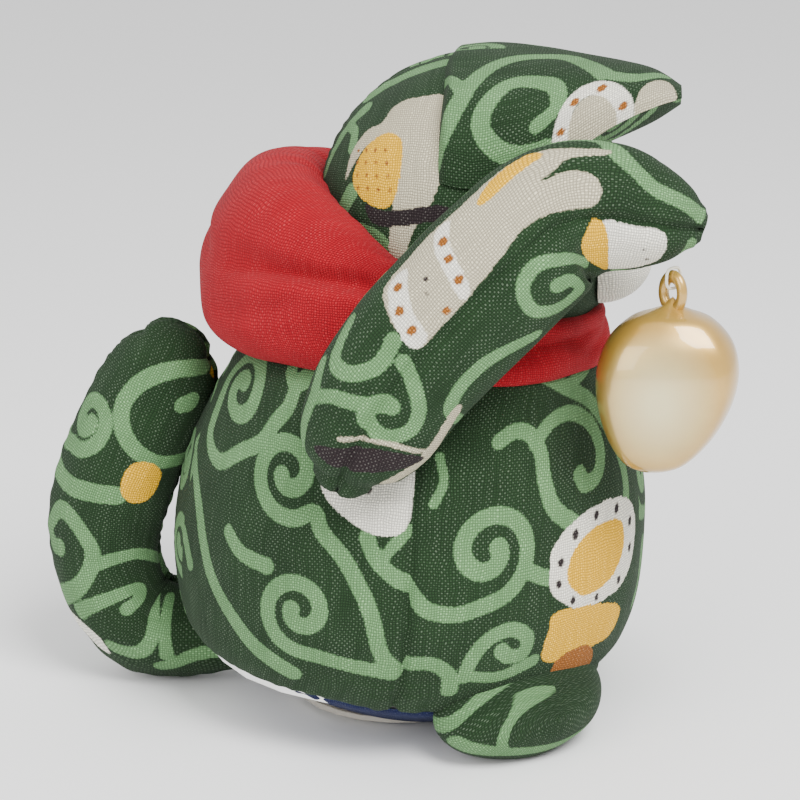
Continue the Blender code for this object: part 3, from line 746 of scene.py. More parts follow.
ARM_PRINT = {
    "strokes": (
        ("scroll", 1.1, ((-11, 18), (-8.8, 14), (-5.6, 14.2), (-3.3, 17), (-3.8, 20.4))),
        ("scroll", 1.1, ((-11, 12.5), (-8.8, 9), (-8.2, 5), (-7.5, 1))),
        ("scroll", 1.05, ((-8.8, 8.6), (-6, 10.6), (-3, 11.8), (-0.3, 13.2))),
        ("scroll", 1.15, ((-1.2, 19.4), (1.6, 18), (4.2, 15.5), (4.8, 12.4), (2.2, 10.2), (-0.9, 11),
            (-0.6, 13.4), (1, 14))),
        ("scroll", 1.05, ((10, 32.5), (7.8, 28.5), (6.6, 25), (6.6, 21), (8, 17.6), (11, 16.5))),
        ("scroll", 1.05, ((6, 48.5), (3.9, 43), (2, 39.2), (3, 36), (6.3, 35), (9, 37.5), (9.2, 41),
            (7, 41.5), (6, 39.4))),
        ("scroll", 1.1, ((-9, 52), (-7, 53.5), (-4.6, 57), (-3.5, 61), (-2, 65))),
        ("scroll", 1.0, ((-13, 46), (-12, 50), (-9, 52))),
        ("scroll", 1.0, ((9, 55), (9.5, 59), (6.5, 63), (2, 64.5))),
        ("tan", 0.4, ((-2.2, 6.9), (2.5, 9.4), (6.5, 10), (10.5, 10.8))),
    ),
    "patches": (
        ("dark", ((-5, 3.8), (-1, 6.2), (3, 8.4), (9, 9.6), (7, 6.8), (3, 4.6), (-1, 2.8))),
        ("tan", ((8.2, 18.8), (9.6, 18.4), (10.7, 14), (11, 10), (9, 5.8), (6, 2.2), (5.2, 3.2),
            (8, 8.2), (8.8, 13))),
        (
            "tan",
            (
                (-10.2, 24), (-10.6, 30), (-10.6, 35), (-11, 40), (-11, 44.5), (-9.6, 48),
                    (-9.2, 51.5), (-8.2, 50.6),
                (-8, 47.4), (-6.9, 46.2), (-6, 44.6), (-6.2, 47.6), (-5, 50), (-3, 50.8),
                    (-1.4, 49.4), (-1.6, 46),
                (-2.2, 43), (-2.3, 40), (-1.6, 36.5), (-1, 32), (-0.7, 27), (-0.8, 22), (-3.3, 21.6),
                    (-6.3, 22),
            ),
        ),
        ("pale", ((-9.8, 24.6), (-8, 23.2), (-5, 21.8), (-1.3, 21.4), (-1.1, 23.8), (-4, 24.4),
            (-7, 25.8), (-9.4, 27.2))),
        ("pale", ((-9.9, 34.6), (-7.5, 33.2), (-4.5, 32.4), (-1.4, 31.4), (-1.2, 29.8), (-4.5, 30.4),
            (-8, 31.2), (-10.2, 32.6))),
        ("gold", ((-9.2, 38.4), (-10.6, 41), (-11.2, 44.6), (-9.6, 45.4), (-8.5, 42.6), (-8.2, 39.2))),
        ("gold", ((3.8, 48), (0.5, 49.8), (0.6, 51.4), (4, 52.6), (8, 53.5), (6.8, 50.8))),
        ("pale", ((0.6, 51.4), (0.6, 55.5), (0.9, 59.8), (4.8, 60.2), (7.4, 57.5), (8, 53.6), (4, 52.7))),
    ),
    "dots": (
        (
            "ink",
            (
                (-8.3, 25, 0.6), (-5.8, 23.4, 0.6), (-3, 22.9, 0.6), (-8.2, 32.6, 0.6), (-6, 31.9, 0.55),
                (-3.2, 31.2, 0.6), (-1.6, 27.6, 0.5),
            ),
        ),
        ("dark", ((-6.2, 28.3, 0.35), (-4.8, 27.2, 0.25), (5.2, 58.4, 0.25), (3.4, 57.6, 0.2))),
    ),
}

TAIL_PRINT = {
    "curls": (((-6.8, 44.3), 4.6, 250, 1.25, 1, ((-13, 42.5), (-10.5, 39.8))),),
    "strokes": (
        ("scroll", 1.4, ((11, 45), (5, 43.6), (0, 45.2), (-2.6, 49), (-1.6, 53.5), (2, 57), (6, 58.5))),
        ("scroll", 1.4, ((5.2, 52.6), (6.2, 53.2))),
        ("scroll", 1.4, ((-13, 38.5), (-10.5, 36), (-6, 35.2), (-2.5, 35.6), (2, 36.6))),
        ("scroll", 1.3, ((-9, 29), (-6.5, 31.6), (-3, 30.8), (-0.3, 27.6), (-1, 24.4), (-4, 22),
            (-11, 20.6))),
        ("scroll", 1.1, ((-9, 29), (-7.8, 27.2), (-6, 27))),
        ("scroll", 1.2, ((0, 25.2), (3, 26), (7, 26), (11, 23))),
        ("scroll", 1.2, ((-5, 19.2), (0, 19.8), (5, 19.6), (4.6, 17.4), (2.5, 17))),
        ("scroll", 1.2, ((-4, 14), (-2, 11.4), (1, 10.2), (4.5, 11), (9, 13))),
        ("scroll", 1.1, ((-1.5, 7.8), (2.5, 8.4), (7, 8.6))),
        ("scroll", 1.2, ((-4, 8.5), (-1.5, 4), (-1, 0))),
    ),
    "patches": (
        ("pale", ((-9.5, 18.8), (-6, 18), (-4.6, 15.4), (-6.8, 14))),
        ("gold", ((1.9, 39.5), (2.6, 42.2), (4.8, 43.2), (7, 42), (7.6, 39.4), (6.8, 36.8),
            (4.7, 35.9), (2.6, 36.9))),
        ("gold", ((7.5, 57.6), (9, 59), (10.5, 57.8), (9, 56.6))),
    ),
}

HEAD_PRINT = {
    "curls": (((14.5, -4), 3.8, 90, 1.15, 1, ((20, -1), (17.5, 0.2))),),
    "strokes": (
        ("scroll", 1.3, ((23, 23), (18, 26), (12, 28.5), (7, 30))),
        ("scroll", 1.3, ((29, 8), (26.5, 13.5), (24, 17.5), (21, 20.5))),
        ("scroll", 1.4, ((27, -2), (22, 1), (18.5, 5.5))),
        ("scroll", 1.1, ((24.5, 17), (21.5, 15.5), (20.5, 12.5))),
        ("scroll", 1.2, ((9, -9), (5, -5), (4, 0))),
    ),
    "patches": (
        (
            "tan",
            (
                (20.3, 7.2), (20.3, 11.5), (18, 15.3), (15, 16.5), (13.5, 19.5), (10, 20.8),
                    (4, 20.5), (3, 12),
                (5, 5), (7.5, 1), (9, -2.6), (11.4, -2.2), (10.8, 4), (12, 9), (16, 13), (18.8, 10),
            ),
        ),
        ("gold", ((18.6, 8), (17.6, 11.5), (15.5, 13.7), (12.8, 14.6), (10.4, 13.2), (10, 8.8),
            (11, 4.4), (14, 3.8), (17.5, 5.8))),
        ("dark", ((15.4, 4), (12.5, 3.4), (9, 3.8), (4, 4.6), (2, 3.4), (6, 2.2), (10, 1.4), (14, 1.4))),
    ),
    "dots": (
        ("ink", tuple((11.4 + 1.9 * i + 0.5 * j, 6.2 + 1.9 * j, 0.3) for i in range(4) for j in range(4))),
    ),
}

SNOUT_PRINT = {
    "strokes": (
        ("scroll", 1.3, ((6, 15), (7.5, 17.6), (11, 17), (13.5, 14), (14, 11), (11.5, 8.5), (8, 7.6),
            (4.8, 9.5), (3, 12.5), (2.4, 16))),
        ("scroll", 1.3, ((1.5, 0.5), (4.8, 2), (7.8, 3.2), (11, 4.5), (15.5, 6.2), (19.5, 9),
            (21, 13), (19.5, 18), (14.5, 21.4), (9.5, 24))),
        ("scroll", 1.2, ((15.5, 0.2), (15.8, 3), (13, 5.2))),
        ("scroll", 1.2, ((9.5, 24), (6.5, 28.5), (6.5, 33))),
        ("pale", 1.25, ((0.4, 18), (4, 18.2), (6.8, 19.6), (7.4, 22.2), (5.6, 24.8), (2.4, 26.8),
            (0.4, 27.2))),
    ),
    "patches": (
        ("tan", ((-0.5, 18), (3, 18.6), (6, 20.6), (6, 23), (4.4, 25), (2, 26.6), (-0.5, 26.6))),
        ("tan", ((-0.5, 28.8), (2.6, 28.9), (4.3, 30.6), (4.2, 33), (2, 34.6), (-0.5, 34.6))),
    ),
    "dots": (("ink", ((3.4, 18.1, 0.6), (6.5, 19.9, 0.6), (6.6, 23.6, 0.65), (2, 26.8, 0.6))),),
}

FOOT_PRINT = {
    "strokes": (
        ("scroll", 1.2, ((-12, 12), (-6, 7), (1, 5.5), (8, 8), (14, 12))),
        ("scroll", 1.2, ((8, 8), (12, 5), (18, 6))),
        ("scroll", 1.2, ((16, 15), (18, 11), (22, 10), (25, 13))),
    ),
}


def scatter_scrolls(cloth, seed, where, spacing=13.5, half=1.15):
    """The repeat of the print where no marks are listed: staggered curls with their stems."""
    draw = np.random.default_rng(seed)
    low_u, high_u = cloth.u.min(), cloth.u.max()
    low_v, high_v = cloth.v.min(), cloth.v.max()
    row = 0
    v = low_v - spacing * draw.uniform(0.1, 0.6)
    while v < high_v + spacing:
        u = low_u - spacing * (0.5 + 0.5 * (row % 2))
        while u < high_u + spacing:
            hand = 1 if draw.random() < 0.5 else -1
            start = draw.uniform(0, 360)
            centre = np.array([u, v]) + draw.uniform(-1.5, 1.5, 2)
            radius = draw.uniform(4.6, 6.2)
            heading = math.radians(start)
            out = np.array([math.cos(heading), math.sin(heading)])
            back = np.array([out[1], -out[0]]) * hand
            begin = centre + radius * out
            stem = [begin + back * 9.5 - out * 4.5, begin + back * 5.0 - out * 0.6]
            path = spiral(centre, radius, start, draw.uniform(1.2, 1.5), hand, stem)
            add_path(cloth, "scroll", path, half, where)
            u += spacing
        v += spacing * 0.86
        row += 1


# ---------------------------------------------------------------- materials


class Nodes:
    """Short names for building a material's nodes."""

    def __init__(self, name):
        self.material = bpy.data.materials.new(name)
        self.material.use_nodes = True
        self.tree = self.material.node_tree
        self.shader = self.tree.nodes["Principled BSDF"]

    def add(self, kind, inputs=(), **settings):
        node = self.tree.nodes.new(kind)
        for key, value in settings.items():
            setattr(node, key, value)
        for key, value in dict(inputs).items():
            self.set(node.inputs[key], value)
        return node

    def set(self, socket, value):
        if isinstance(value, bpy.types.NodeSocket):
            self.tree.links.new(value, socket)
        elif isinstance(value, tuple) and len(value) == 3 and socket.type == "RGBA":
            socket.default_value = (*value, 1.0)
        else:
            socket.default_value = value

    def sum(self, operation, a, b=0.0, clamp=False):
        return self.add("ShaderNodeMath", {0: a, 1: b}, operation=operation, use_clamp=clamp).outputs[0]

    def attribute(self, name, output="Fac"):
        return self.add("ShaderNodeAttribute", attribute_name=name).outputs[output]

    def mix(self, factor, a, b, blend="MIX"):
        node = self.add("ShaderNodeMix", data_type="RGBA", blend_type=blend)
        self.set(node.inputs["Factor"], factor)
        self.set(node.inputs["A"], a)
        self.set(node.inputs["B"], b)
        return node.outputs["Result"]

    def mapped(self, value, source, target):
        """value taken from one range of numbers to another, and held inside it."""
        inputs = {"Value": value, "From Min": source[0], "From Max": source[1]}
        inputs |= {"To Min": target[0], "To Max": target[1]}
        return self.add("ShaderNodeMapRange", inputs).outputs["Result"]

    def inside(self, distance, soft=0.12):
        """1 where a signed distance in millimetres is below zero."""
        return self.mapped(distance, (soft, -soft), (0.0, 1.0))

    def scaled(self, vector, factors):
        return self.add("ShaderNodeVectorMath", {0: vector, 1: factors}, operation="MULTIPLY").outputs[0]

    def stretched(self, u, v, along_u, along_v):
        parts = {0: self.sum("MULTIPLY", u, along_u), 1: self.sum("MULTIPLY", v, along_v)}
        return self.add("ShaderNodeCombineXYZ", parts).outputs[0]

    def noise(self, vector, scale, detail=2.0):
        inputs = {"Vector": vector, "Scale": scale, "Detail": detail}
        return self.add("ShaderNodeTexNoise", inputs).outputs["Fac"]

    def finish(self, colour, height, distance, roughness, strength=1.0):
        bump = self.add("ShaderNodeBump", {"Height": height, "Strength": strength, "Distance": distance})
        self.set(self.shader.inputs["Base Color"], colour)
        self.set(self.shader.inputs["Roughness"], roughness)
        self.set(self.shader.inputs["Normal"], bump.outputs["Normal"])
        return self.material


def srgb(red, green, blue):
    """A colour given as screen values from 0 to 255."""
    values = np.array([red, green, blue]) / 255
    low, high = values / 12.92, ((values + 0.055) / 1.055) ** 2.4
    return tuple(float(x) for x in np.where(values < 0.04045, low, high))


def weave(nodes, pitch):
    """A plain weave over the cloth coordinates. Returns its height, 0 to 1, and its glint, 0 to 1: a mask for
    the painted highlights on the threads.
    """
    place = nodes.attribute("cloth", "Vector")
    wobble = nodes.add("ShaderNodeTexNoise", {"Vector": place, "Scale": 0.35, "Detail": 1.0}).outputs["Color"]
    moved = nodes.scaled(wobble, (0.9, 0.9, 0.0))
    place = nodes.add("ShaderNodeVectorMath", {0: place, 1: moved}, operation="ADD").outputs[0]
    split = nodes.add("ShaderNodeSeparateXYZ", {0: place})
    u, v = split.outputs[0], split.outputs[1]
    wave_u = nodes.sum("SINE", nodes.sum("MULTIPLY", u, math.pi / pitch))
    wave_v = nodes.sum("SINE", nodes.sum("MULTIPLY", v, math.pi / pitch))
    product = nodes.sum("MULTIPLY", wave_u, wave_v)
    lobe = nodes.sum("POWER", nodes.sum("ABSOLUTE", product), 0.6)
    over = nodes.sum("GREATER_THAN", product, 0.0)
    warp = nodes.noise(nodes.stretched(u, v, 1.9, 0.13), 1.0, 1.0)
    weft = nodes.noise(nodes.stretched(u, v, 0.13, 1.9), 1.0, 1.0)
    blend = nodes.add("ShaderNodeMix", data_type="FLOAT")
    nodes.set(blend.inputs["Factor"], over)
    nodes.set(blend.inputs["A"], weft)
    nodes.set(blend.inputs["B"], warp)
    thread = blend.outputs["Result"]
    height = nodes.sum("MULTIPLY", lobe, nodes.sum("ADD", nodes.sum("MULTIPLY", thread, 0.9), 0.5))
    side = nodes.sum("ADD", nodes.sum("MULTIPLY", over, 0.55), 0.45)
    # Mask for painted highlights: the tops of the threads, stronger on the threads that pass over.
    glint = nodes.sum("MULTIPLY", nodes.sum("MULTIPLY", lobe, thread), side)
    return height, glint


def lit_weave(nodes, colour, height, glint, dark, light):
    """Paints shade into the gaps between threads and paints highlights on the threads that catch the light.
    """
    # Painted shade: darker where the weave is low, in the gaps between threads.
    painted_gap_shade = nodes.mapped(height, (0.0, 0.75), (dark, 1.0))
    colour = nodes.mix(1.0, colour, painted_gap_shade, "MULTIPLY")
    catch = nodes.mapped(glint, (0.3, 0.62), (0.0, light))
    # Painted highlights: the colour made lighter and whiter on the glinting threads.
    painted_highlight = nodes.mix(1.0, colour, (1.7, 1.7, 1.6), "MULTIPLY")
    painted_highlight = nodes.mix(0.09, painted_highlight, srgb(236, 240, 226))
    return nodes.mix(catch, colour, painted_highlight)


def cloth_shader(nodes, sheen=0.03):
    nodes.shader.inputs["Sheen Weight"].default_value = sheen
    nodes.shader.inputs["Sheen Roughness"].default_value = 0.5
    nodes.shader.inputs["Specular IOR Level"].default_value = 0.12


def printed_cotton():
    nodes = Nodes("printed_cotton")
    height, glint = weave(nodes, 0.36)
    place = nodes.attribute("cloth", "Vector")
    cloudy = nodes.noise(place, 0.16, 3.0)
    ground = nodes.mix(cloudy, srgb(24, 42, 23), srgb(36, 60, 34))
    scroll = nodes.mix(cloudy, srgb(84, 122, 78), srgb(106, 146, 98))
    ragged = nodes.sum("MULTIPLY", nodes.sum("SUBTRACT", nodes.noise(place, 2.4, 2.0), 0.5), 0.5)
    colour = ground
    layers = (
        ("scroll", scroll),
        ("tan", srgb(178, 170, 146)),
        ("pale", srgb(222, 219, 206)),
        ("gold", srgb(218, 166, 22)),
        ("ink", srgb(140, 84, 30)),
        ("dark", srgb(38, 30, 32)),
    )
    for name, paint in layers:
        distance = nodes.sum("ADD", nodes.attribute(name), ragged)
        colour = nodes.mix(nodes.inside(distance), colour, paint)
    # Painted shade in the thread gaps and painted highlights on the threads.
    colour = lit_weave(nodes, colour, height, glint, 0.5, 0.75)
    cloth_shader(nodes)
    return nodes.finish(colour, height, 0.00009, 0.88)


def red_cotton():
    nodes = Nodes("red_cotton")
    height, glint = weave(nodes, 0.36)
    place = nodes.attribute("cloth", "Vector")
    cloudy = nodes.noise(place, 0.2, 2.0)
    colour = nodes.mix(cloudy, srgb(140, 10, 24), srgb(164, 18, 32))
    ragged = nodes.sum("MULTIPLY", nodes.sum("SUBTRACT", nodes.noise(place, 2.0, 3.0), 0.5), 1.6)
    dry = nodes.sum("ADD", nodes.attribute("ink"), ragged)
    colour = nodes.mix(nodes.sum("MULTIPLY", nodes.inside(dry, 0.2), 0.82), colour, srgb(92, 16, 34))
    # Painted shade in the thread gaps and painted highlights on the threads.
    colour = lit_weave(nodes, colour, height, glint, 0.5, 0.3)
    cloth_shader(nodes)
    return nodes.finish(colour, height, 0.00008, 0.86)


def navy_cotton():
    nodes = Nodes("navy_cotton")
    height, glint = weave(nodes, 0.34)
    cloudy = nodes.noise(nodes.attribute("cloth", "Vector"), 0.3, 2.0)
    colour = nodes.mix(cloudy, srgb(20, 26, 58), srgb(32, 40, 78))
    # Painted shade in the thread gaps and painted highlights on the threads.
    colour = lit_weave(nodes, colour, height, glint, 0.5, 0.3)
    cloth_shader(nodes)
    return nodes.finish(colour, height, 0.00007, 0.9)


def gold_lacquer():
    """Pearly lacquer under a clear coat, with a painted reflection that makes it paler where the attribute
    "pale" is below zero.
    """
    nodes = Nodes("gold_lacquer")
    place = nodes.add("ShaderNodeTexCoord").outputs["Object"]
    pearl = nodes.noise(place, 260.0, 3.0)
    streak = nodes.noise(nodes.scaled(place, (1.0, 1.0, 0.35)), 900.0, 4.0)
    colour = nodes.mix(pearl, srgb(168, 128, 46), srgb(196, 158, 78))
    # Painted reflection: a pale spot where the attribute "pale" is below zero.
    pale = nodes.attribute("pale")
    painted_reflection = nodes.mapped(pale, (3.0, -4.0), (0.0, 0.85))
    colour = nodes.mix(painted_reflection, colour, srgb(214, 204, 156))
    nodes.shader.inputs["Metallic"].default_value = 0.45
    nodes.shader.inputs["Coat Weight"].default_value = 1.0
    nodes.shader.inputs["Coat Roughness"].default_value = 0.04
    return nodes.finish(colour, streak, 0.00001, 0.34, 0.4)


def sewing_thread():
    nodes = Nodes("sewing_thread")
    place = nodes.add("ShaderNodeTexCoord").outputs["Object"]
    inputs = {"Vector": place, "Scale": 900.0, "Distortion": 1.0}
    twist = nodes.add("ShaderNodeTexWave", inputs, bands_direction="DIAGONAL")
    colour = nodes.mix(twist.outputs["Fac"], srgb(196, 188, 160), srgb(236, 230, 210))
    cloth_shader(nodes, 0.2)
    return nodes.finish(colour, twist.outputs["Fac"], 0.00004, 0.8)


def fibre(name, low, high, scale):
    nodes = Nodes(name)
    place = nodes.add("ShaderNodeTexCoord").outputs["Object"]
    tangle = nodes.noise(place, scale, 6.0)
    colour = nodes.mix(tangle, low, high)
    cloth_shader(nodes, 0.1)
    return nodes.finish(colour, tangle, 0.0003, 0.95)


LOOK = {
    "print": printed_cotton(),
    "red": red_cotton(),
    "navy": navy_cotton(),
    "gold": gold_lacquer(),
    "thread": sewing_thread(),
    "stuffing": fibre("polyester_stuffing", srgb(222, 222, 216), srgb(248, 248, 244), 1400.0),
    "card": fibre("grey_card", srgb(140, 132, 116), srgb(170, 162, 146), 2600.0),
    "pellets": fibre("pellet_bag", srgb(196, 192, 180), srgb(228, 226, 216), 1800.0),
}
SLOT_LOOK = {"stuffing": "stuffing", "card": "card", "pellet_bag": "pellets", "thread": "thread"}

# ---------------------------------------------------------------- pieces


def printed(name, cloth, body, nodes, fill=None):
    cloth_object(name, cloth, LOOK["print"], body, nodes, "printed_cotton", fill=fill)


def build_body():
    cloth = Cloth(body_skin, (-0.5, 0.5), (0.0, 1.0), 0.25)
    front = np.abs(cloth.turn) < SIDE_SEAM
    cloth.uneven(16.0, 0.28, 11)
    for seam, seed in ((-SIDE_SEAM, 21), (SIDE_SEAM, 22), (-0.5, 23), (0.5, 23)):
        cloth.seam((cloth.turn - seam) * cloth.around, cloth.v, seed)
    cloth.seam(cloth.v + 0.4, cloth.u, 25, depth=0.8, pucker=0.16)
    near = (cloth.u > -44) & (cloth.u < 38)
    add_print(cloth, front & near, **BODY_FRONT_PRINT)
    add_print(cloth, ~front & near, **BODY_BACK_PRINT)
    scatter_scrolls(cloth, 5, front & ~near)
    scatter_scrolls(cloth, 6, ~front & ~near)
    nodes = ("body_front_panel", "body_back_right_panel", "body_back_left_panel")
    printed("body_cover", cloth, "toy", nodes, fill=0.9)
    base = Cloth(base_skin, (-0.5, 0.5), (0.02, 1.0), 0.25)
    base.seam((1 - base.place) * BODY[0][2] + 0.3, base.u, 27, depth=0.6, pucker=0.14)
    cloth_object("base_cover", base, LOOK["navy"], "toy", ("base_panel",), "navy_cotton")


def build_head():
    cloth = Cloth(head_skin, (0.0, 1.0), (0.02, 0.98), 0.75)
    side_coordinates(cloth)
    cloth.uneven(14.0, 0.22, 31)
    for seam in (0.0, 0.5, 1.0):
        cloth.seam((cloth.turn - seam) * cloth.around, cloth.v, 32)
    add_print(cloth, cloth.turn > 0.5, **HEAD_PRINT)
    scatter_scrolls(cloth, 8, cloth.turn <= 0.5)
    nodes = ("head_left_panel", "head_right_panel")
    printed("head_cover", cloth, "toy", nodes, fill=0.9)


def side_coordinates(cloth):
    """Cloth coordinates spread out from the middle of each side of the head: u back, v up."""
    off = (cloth.points - HEAD_CENTRE) / HEAD_HALF_X
    off /= np.linalg.norm(off, axis=-1, keepdims=True)
    arc = np.arccos(np.clip(np.abs(off[..., 0]), 0, 1)) * HEAD_HALF_X
    flat = np.maximum(np.hypot(off[..., 1], off[..., 2]), 1e-6)
    cloth.u = arc * off[..., 1] / flat
    cloth.v = arc * off[..., 2] / flat


def build_snout():
    top = Cloth(snout_top, (-1.0, 1.0), (0.0, 1.0), -1.0)
    top.uneven(12.0, 0.2, 41)
    near = top.u < 26
    add_print(top, near, **SNOUT_PRINT)
    scatter_scrolls(top, 9, ~near)
    printed("snout_top_cover", top, "toy", ("snout_top_panel",), fill=0.85)
    under = Cloth(snout_bottom, (-1.0, 1.0), (0.3, 1.0), 0.0)
    scatter_scrolls(under, 10, np.ones(under.u.shape, bool))
    printed("snout_under_cover", under, "toy", ("snout_under_panel",))
    jaw = Cloth(jaw_skin, (0.0, 1.0), (0.03, 0.5), 0.75)
    jaw.close_ends(last=False, rise=0.1)
    jaw.marks["pale"] = np.full(jaw.u.shape, -1.0)
    printed("lower_jaw_cover_cloth", jaw, "toy", ("lower_jaw_cover",), fill=0.85)


def build_tail():
    cloth = Cloth(tail_skin, (0.0, 1.0), (0.0, 0.985), 0.75)
    cloth.close_ends(first=False)
    cloth.uneven(10.0, 0.2, 51)
    for seam in (0.0, 0.5, 1.0):
        cloth.seam((cloth.turn - seam) * cloth.around, cloth.v, 52)
    near = (cloth.u > -14) & (cloth.u < 12)
    add_print(cloth, near, **TAIL_PRINT)
    scatter_scrolls(cloth, 12, ~near)
    nodes = ("tail_left_panel", "tail_right_panel")
    printed("tail_cover", cloth, "tail", nodes, fill=0.85)


def build_arm(side, name, centres):
    home = 0.75 if side < 0 else 0.25
    cloth = Cloth(arm_skin(side, centres), (home - 0.5, home + 0.5), (0.0, 0.985), home)
    cloth.close_ends(last=False)
    cloth.close_ends(first=False, rise=0.3)
    cloth.uneven(10.0, 0.2, 61 + side)
    for seam in (home - 0.5, home, home + 0.5):
        cloth.seam((cloth.turn - seam) * cloth.around, cloth.v, 62 + side)
    near = (np.abs(cloth.u) < 13) & (side < 0)
    add_print(cloth, near, **ARM_PRINT)
    scatter_scrolls(cloth, 14 + side, ~near, 12.0, 0.95)
    nodes = (f"{name}_arm_upper_panel", f"{name}_arm_lower_panel")
    printed(f"{name}_arm_cover", cloth, f"{name}_arm", nodes, fill=0.85)


def build_foot(side, name):
    cloth = Cloth(foot_skin(side), (0.0, 1.0), (0.03, 0.58), 0.5)
    cloth.close_ends(last=False, rise=0.1)
    cloth.uneven(9.0, 0.15, 71 + side)
    add_print(cloth, np.ones(cloth.u.shape, bool), **FOOT_PRINT)
    printed(f"{name}_foot_cloth", cloth, "toy", (f"{name}_foot_cover",), fill=0.85)


def build_neckerchief():
    band = Cloth(band_skin, (-BAND_END, BAND_END), (0.0, 1.0), 0.0)
    band.uneven(9.0, 0.15, 81)
    for start, end in (((-26, 9), (-12, 6)), ((-20, 3), (-9, 4)), ((12, 6), (26, 9)), ((2, 7), (12, 4))):
        band.crease(start, end, 0.35, 1.0)
    cloth_object("neckerchief", band, LOOK["red"], "toy", ("neckerchief_band",), "red_cotton")
    puff = Cloth(puff_skin, (BUNDLE_START, 1 - BUNDLE_START), (0.0, 1.0), 0.5)
    puff.uneven(15.0, 0.3, 82)
    side = 1 - fade(np.abs(puff.turn - 0.5), 0.0, 0.24)
    top = fade(puff.place, 0.74, 0.95)
    puff.relief -= top * (0.35 + 0.35 * wander(puff.u, 5.0, 83)) * (0.4 + 0.6 * side)
    for start, end, depth in PUFF_FOLDS:
        puff.crease(start, end, depth, 1.1, 1.0)
    nodes = ("nape_bundle_cloth", "nape_bundle_stuffing")
    cloth_object("nape_bundle", puff, LOOK["red"], "toy", nodes, "red_cotton", fill=0.6)


def build_drop():
    """The lacquered drop: flattened on the side that shows, its tip blunt, a ring in its top."""
    turn, place = np.meshgrid(np.linspace(0, 1, 161), np.linspace(0, 1, 121))
    row = along(DROP, place)
    height, radius = row[..., 0], np.maximum(row[..., 1], 0.02)
    shift = DROP_TIP_SHIFT * (1 - height / DROP[-1][0]) ** 2
    angle = 2 * math.pi * turn
    square = (np.abs(np.cos(angle)) ** 2.7 + np.abs(np.sin(angle)) ** 2.7) ** (-1 / 2.7)
    radius = radius * (1 + 0.62 * (square - 1))
    out = -np.cos(angle)
    flat = 1 - 0.16 * fade(out, 0.55, 1.0) * fade(radius, 2.0, 7.0)
    points = stacked(
        HANG[0] - DROP_FLATTEN * radius * out * flat,
        HANG[1] + shift + radius * np.sin(angle),
        DROP_TIP_Z + height,
    )
    made = mesh_object("gold_drop", points.reshape(-1, 3), grid_faces(*turn.shape), LOOK["gold"])
    # Painted reflection: "pale" is below zero inside a spot on the face towards the camera, where the lacquer
    # is painted paler.
    middle = np.array([HANG[0] - 8.0, HANG[1] + 1.6, DROP_TIP_Z + 10.2])
    off = (points - middle) / (6.0, 5.6, 7.4)
    pale = (np.linalg.norm(off, axis=-1) - 1.0) * 6.0
    layer = made.data.attributes.new("pale", "FLOAT", "POINT")
    layer.data.foreach_set("value", pale.reshape(-1).astype(np.float32))
    placed(made, "drop", ("drop",), "gold_lacquer")
    ring_turn, wire_turn = np.meshgrid(np.linspace(0, 1, 65), np.linspace(0, 1, 21))
    angle, wire = 2 * math.pi * ring_turn, 2 * math.pi * wire_turn
    out = EYE_RING * 0.86 + EYE_WIRE * 0.92 * np.cos(wire)
    flat, up = out * np.cos(angle), out * 1.26 * np.sin(angle)
    side = EYE_WIRE * 0.92 * np.sin(wire)
    points = stacked(
        HANG[0] + flat * math.sin(EYE_TURN) + side * math.cos(EYE_TURN),
        HANG[1] + flat * math.cos(EYE_TURN) - side * math.sin(EYE_TURN),
        EYE_Z + up,
    )
    ring = mesh_object("drop_eyelet", points.reshape(-1, 3), grid_faces(*ring_turn.shape), LOOK["gold"])
    layer = ring.data.attributes.new("pale", "FLOAT", "POINT")
    layer.data.foreach_set("value", np.full(ring_turn.size, 9.0, np.float32))
    placed(ring, "drop", (), "gold_lacquer")


build_body()
build_head()
build_snout()
build_tail()
build_arm(-1, "right", RAISED_ARM)
build_arm(1, "left", LOWERED_ARM)
build_foot(-1, "right")
build_foot(1, "left")
build_neckerchief()
build_drop()

# ---------------------------------------------------------------- carried-over CAD nodes

for material_row in frame["record"]["materials"]:
    key = SLOT_LOOK.get(material_row.get("slot"))
    for node_name in material_row.get("nodes", []):
        node = frame["nodes"].get(node_name)
        if key and node and not node.hide_render:
            node.data.materials.clear()
            node.data.materials.append(LOOK[key])

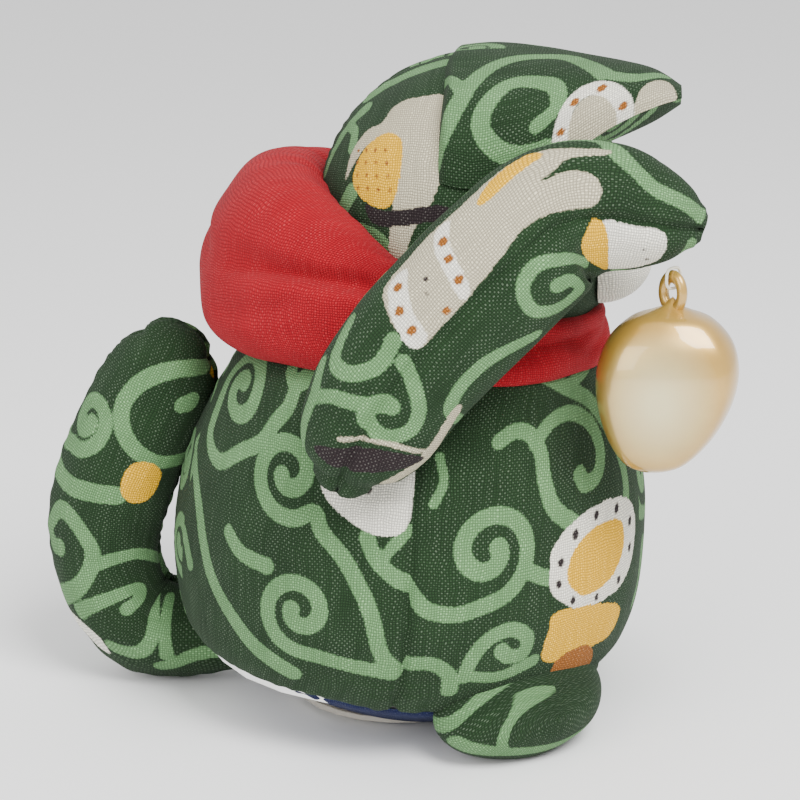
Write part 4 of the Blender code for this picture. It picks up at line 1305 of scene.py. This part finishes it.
# ---------------------------------------------------------------- studio

AIM = Vector((0.0, 0.0, 0.0435))
CAMERA_TURN, CAMERA_RISE, CAMERA_DISTANCE = math.radians(-84), math.radians(15), 0.330
CAMERA_LENS = 105.4


def aimed(made, place, target):
    made.location = place
    made.rotation_euler = (Vector(target) - Vector(place)).to_track_quat("-Z", "Y").to_euler()


def add_camera():
    data = bpy.data.cameras.new("camera")
    data.lens, data.sensor_width = CAMERA_LENS, 36.0
    data.clip_start, data.clip_end = 0.01, 20.0
    made = bpy.data.objects.new("camera", data)
    bpy.context.scene.collection.objects.link(made)
    flat = math.cos(CAMERA_RISE) * CAMERA_DISTANCE
    up = math.sin(CAMERA_RISE) * CAMERA_DISTANCE
    offset = Vector((math.sin(CAMERA_TURN) * flat, -math.cos(CAMERA_TURN) * flat, up))
    aimed(made, AIM + offset, AIM)
    bpy.context.scene.camera = made


def add_light(name, place, size, watts, colour=(1.0, 1.0, 1.0)):
    data = bpy.data.lights.new(name, "AREA")
    data.shape, data.size, data.size_y = "RECTANGLE", size[0], size[1]
    data.energy, data.color = watts, colour
    made = bpy.data.objects.new(name, data)
    bpy.context.scene.collection.objects.link(made)
    aimed(made, place, AIM)


def add_floor():
    points = [(-3000, -3000, 0), (3000, -3000, 0), (3000, 3000, 0), (-3000, 3000, 0)]
    nodes = Nodes("white_floor")
    nodes.shader.inputs["Base Color"].default_value = (0.95, 0.95, 0.95, 1.0)
    nodes.shader.inputs["Roughness"].default_value = 0.7
    floor = mesh_object("floor", points, [(0, 1, 2, 3)], nodes.material, smooth=False)


def add_world():
    world = bpy.data.worlds.new("studio")
    world.use_nodes = True
    sky = world.node_tree.nodes["Background"]
    sky.inputs["Color"].default_value = (1.0, 1.0, 1.0, 1.0)
    sky.inputs["Strength"].default_value = 1.15
    bpy.context.scene.world = world


add_camera()
add_world()
add_floor()
add_light("key", (-0.35, -0.25, 0.55), (0.3, 0.3), 6.5)
add_light("fill", (-0.5, 0.3, 0.3), (0.4, 0.4), 2.0)
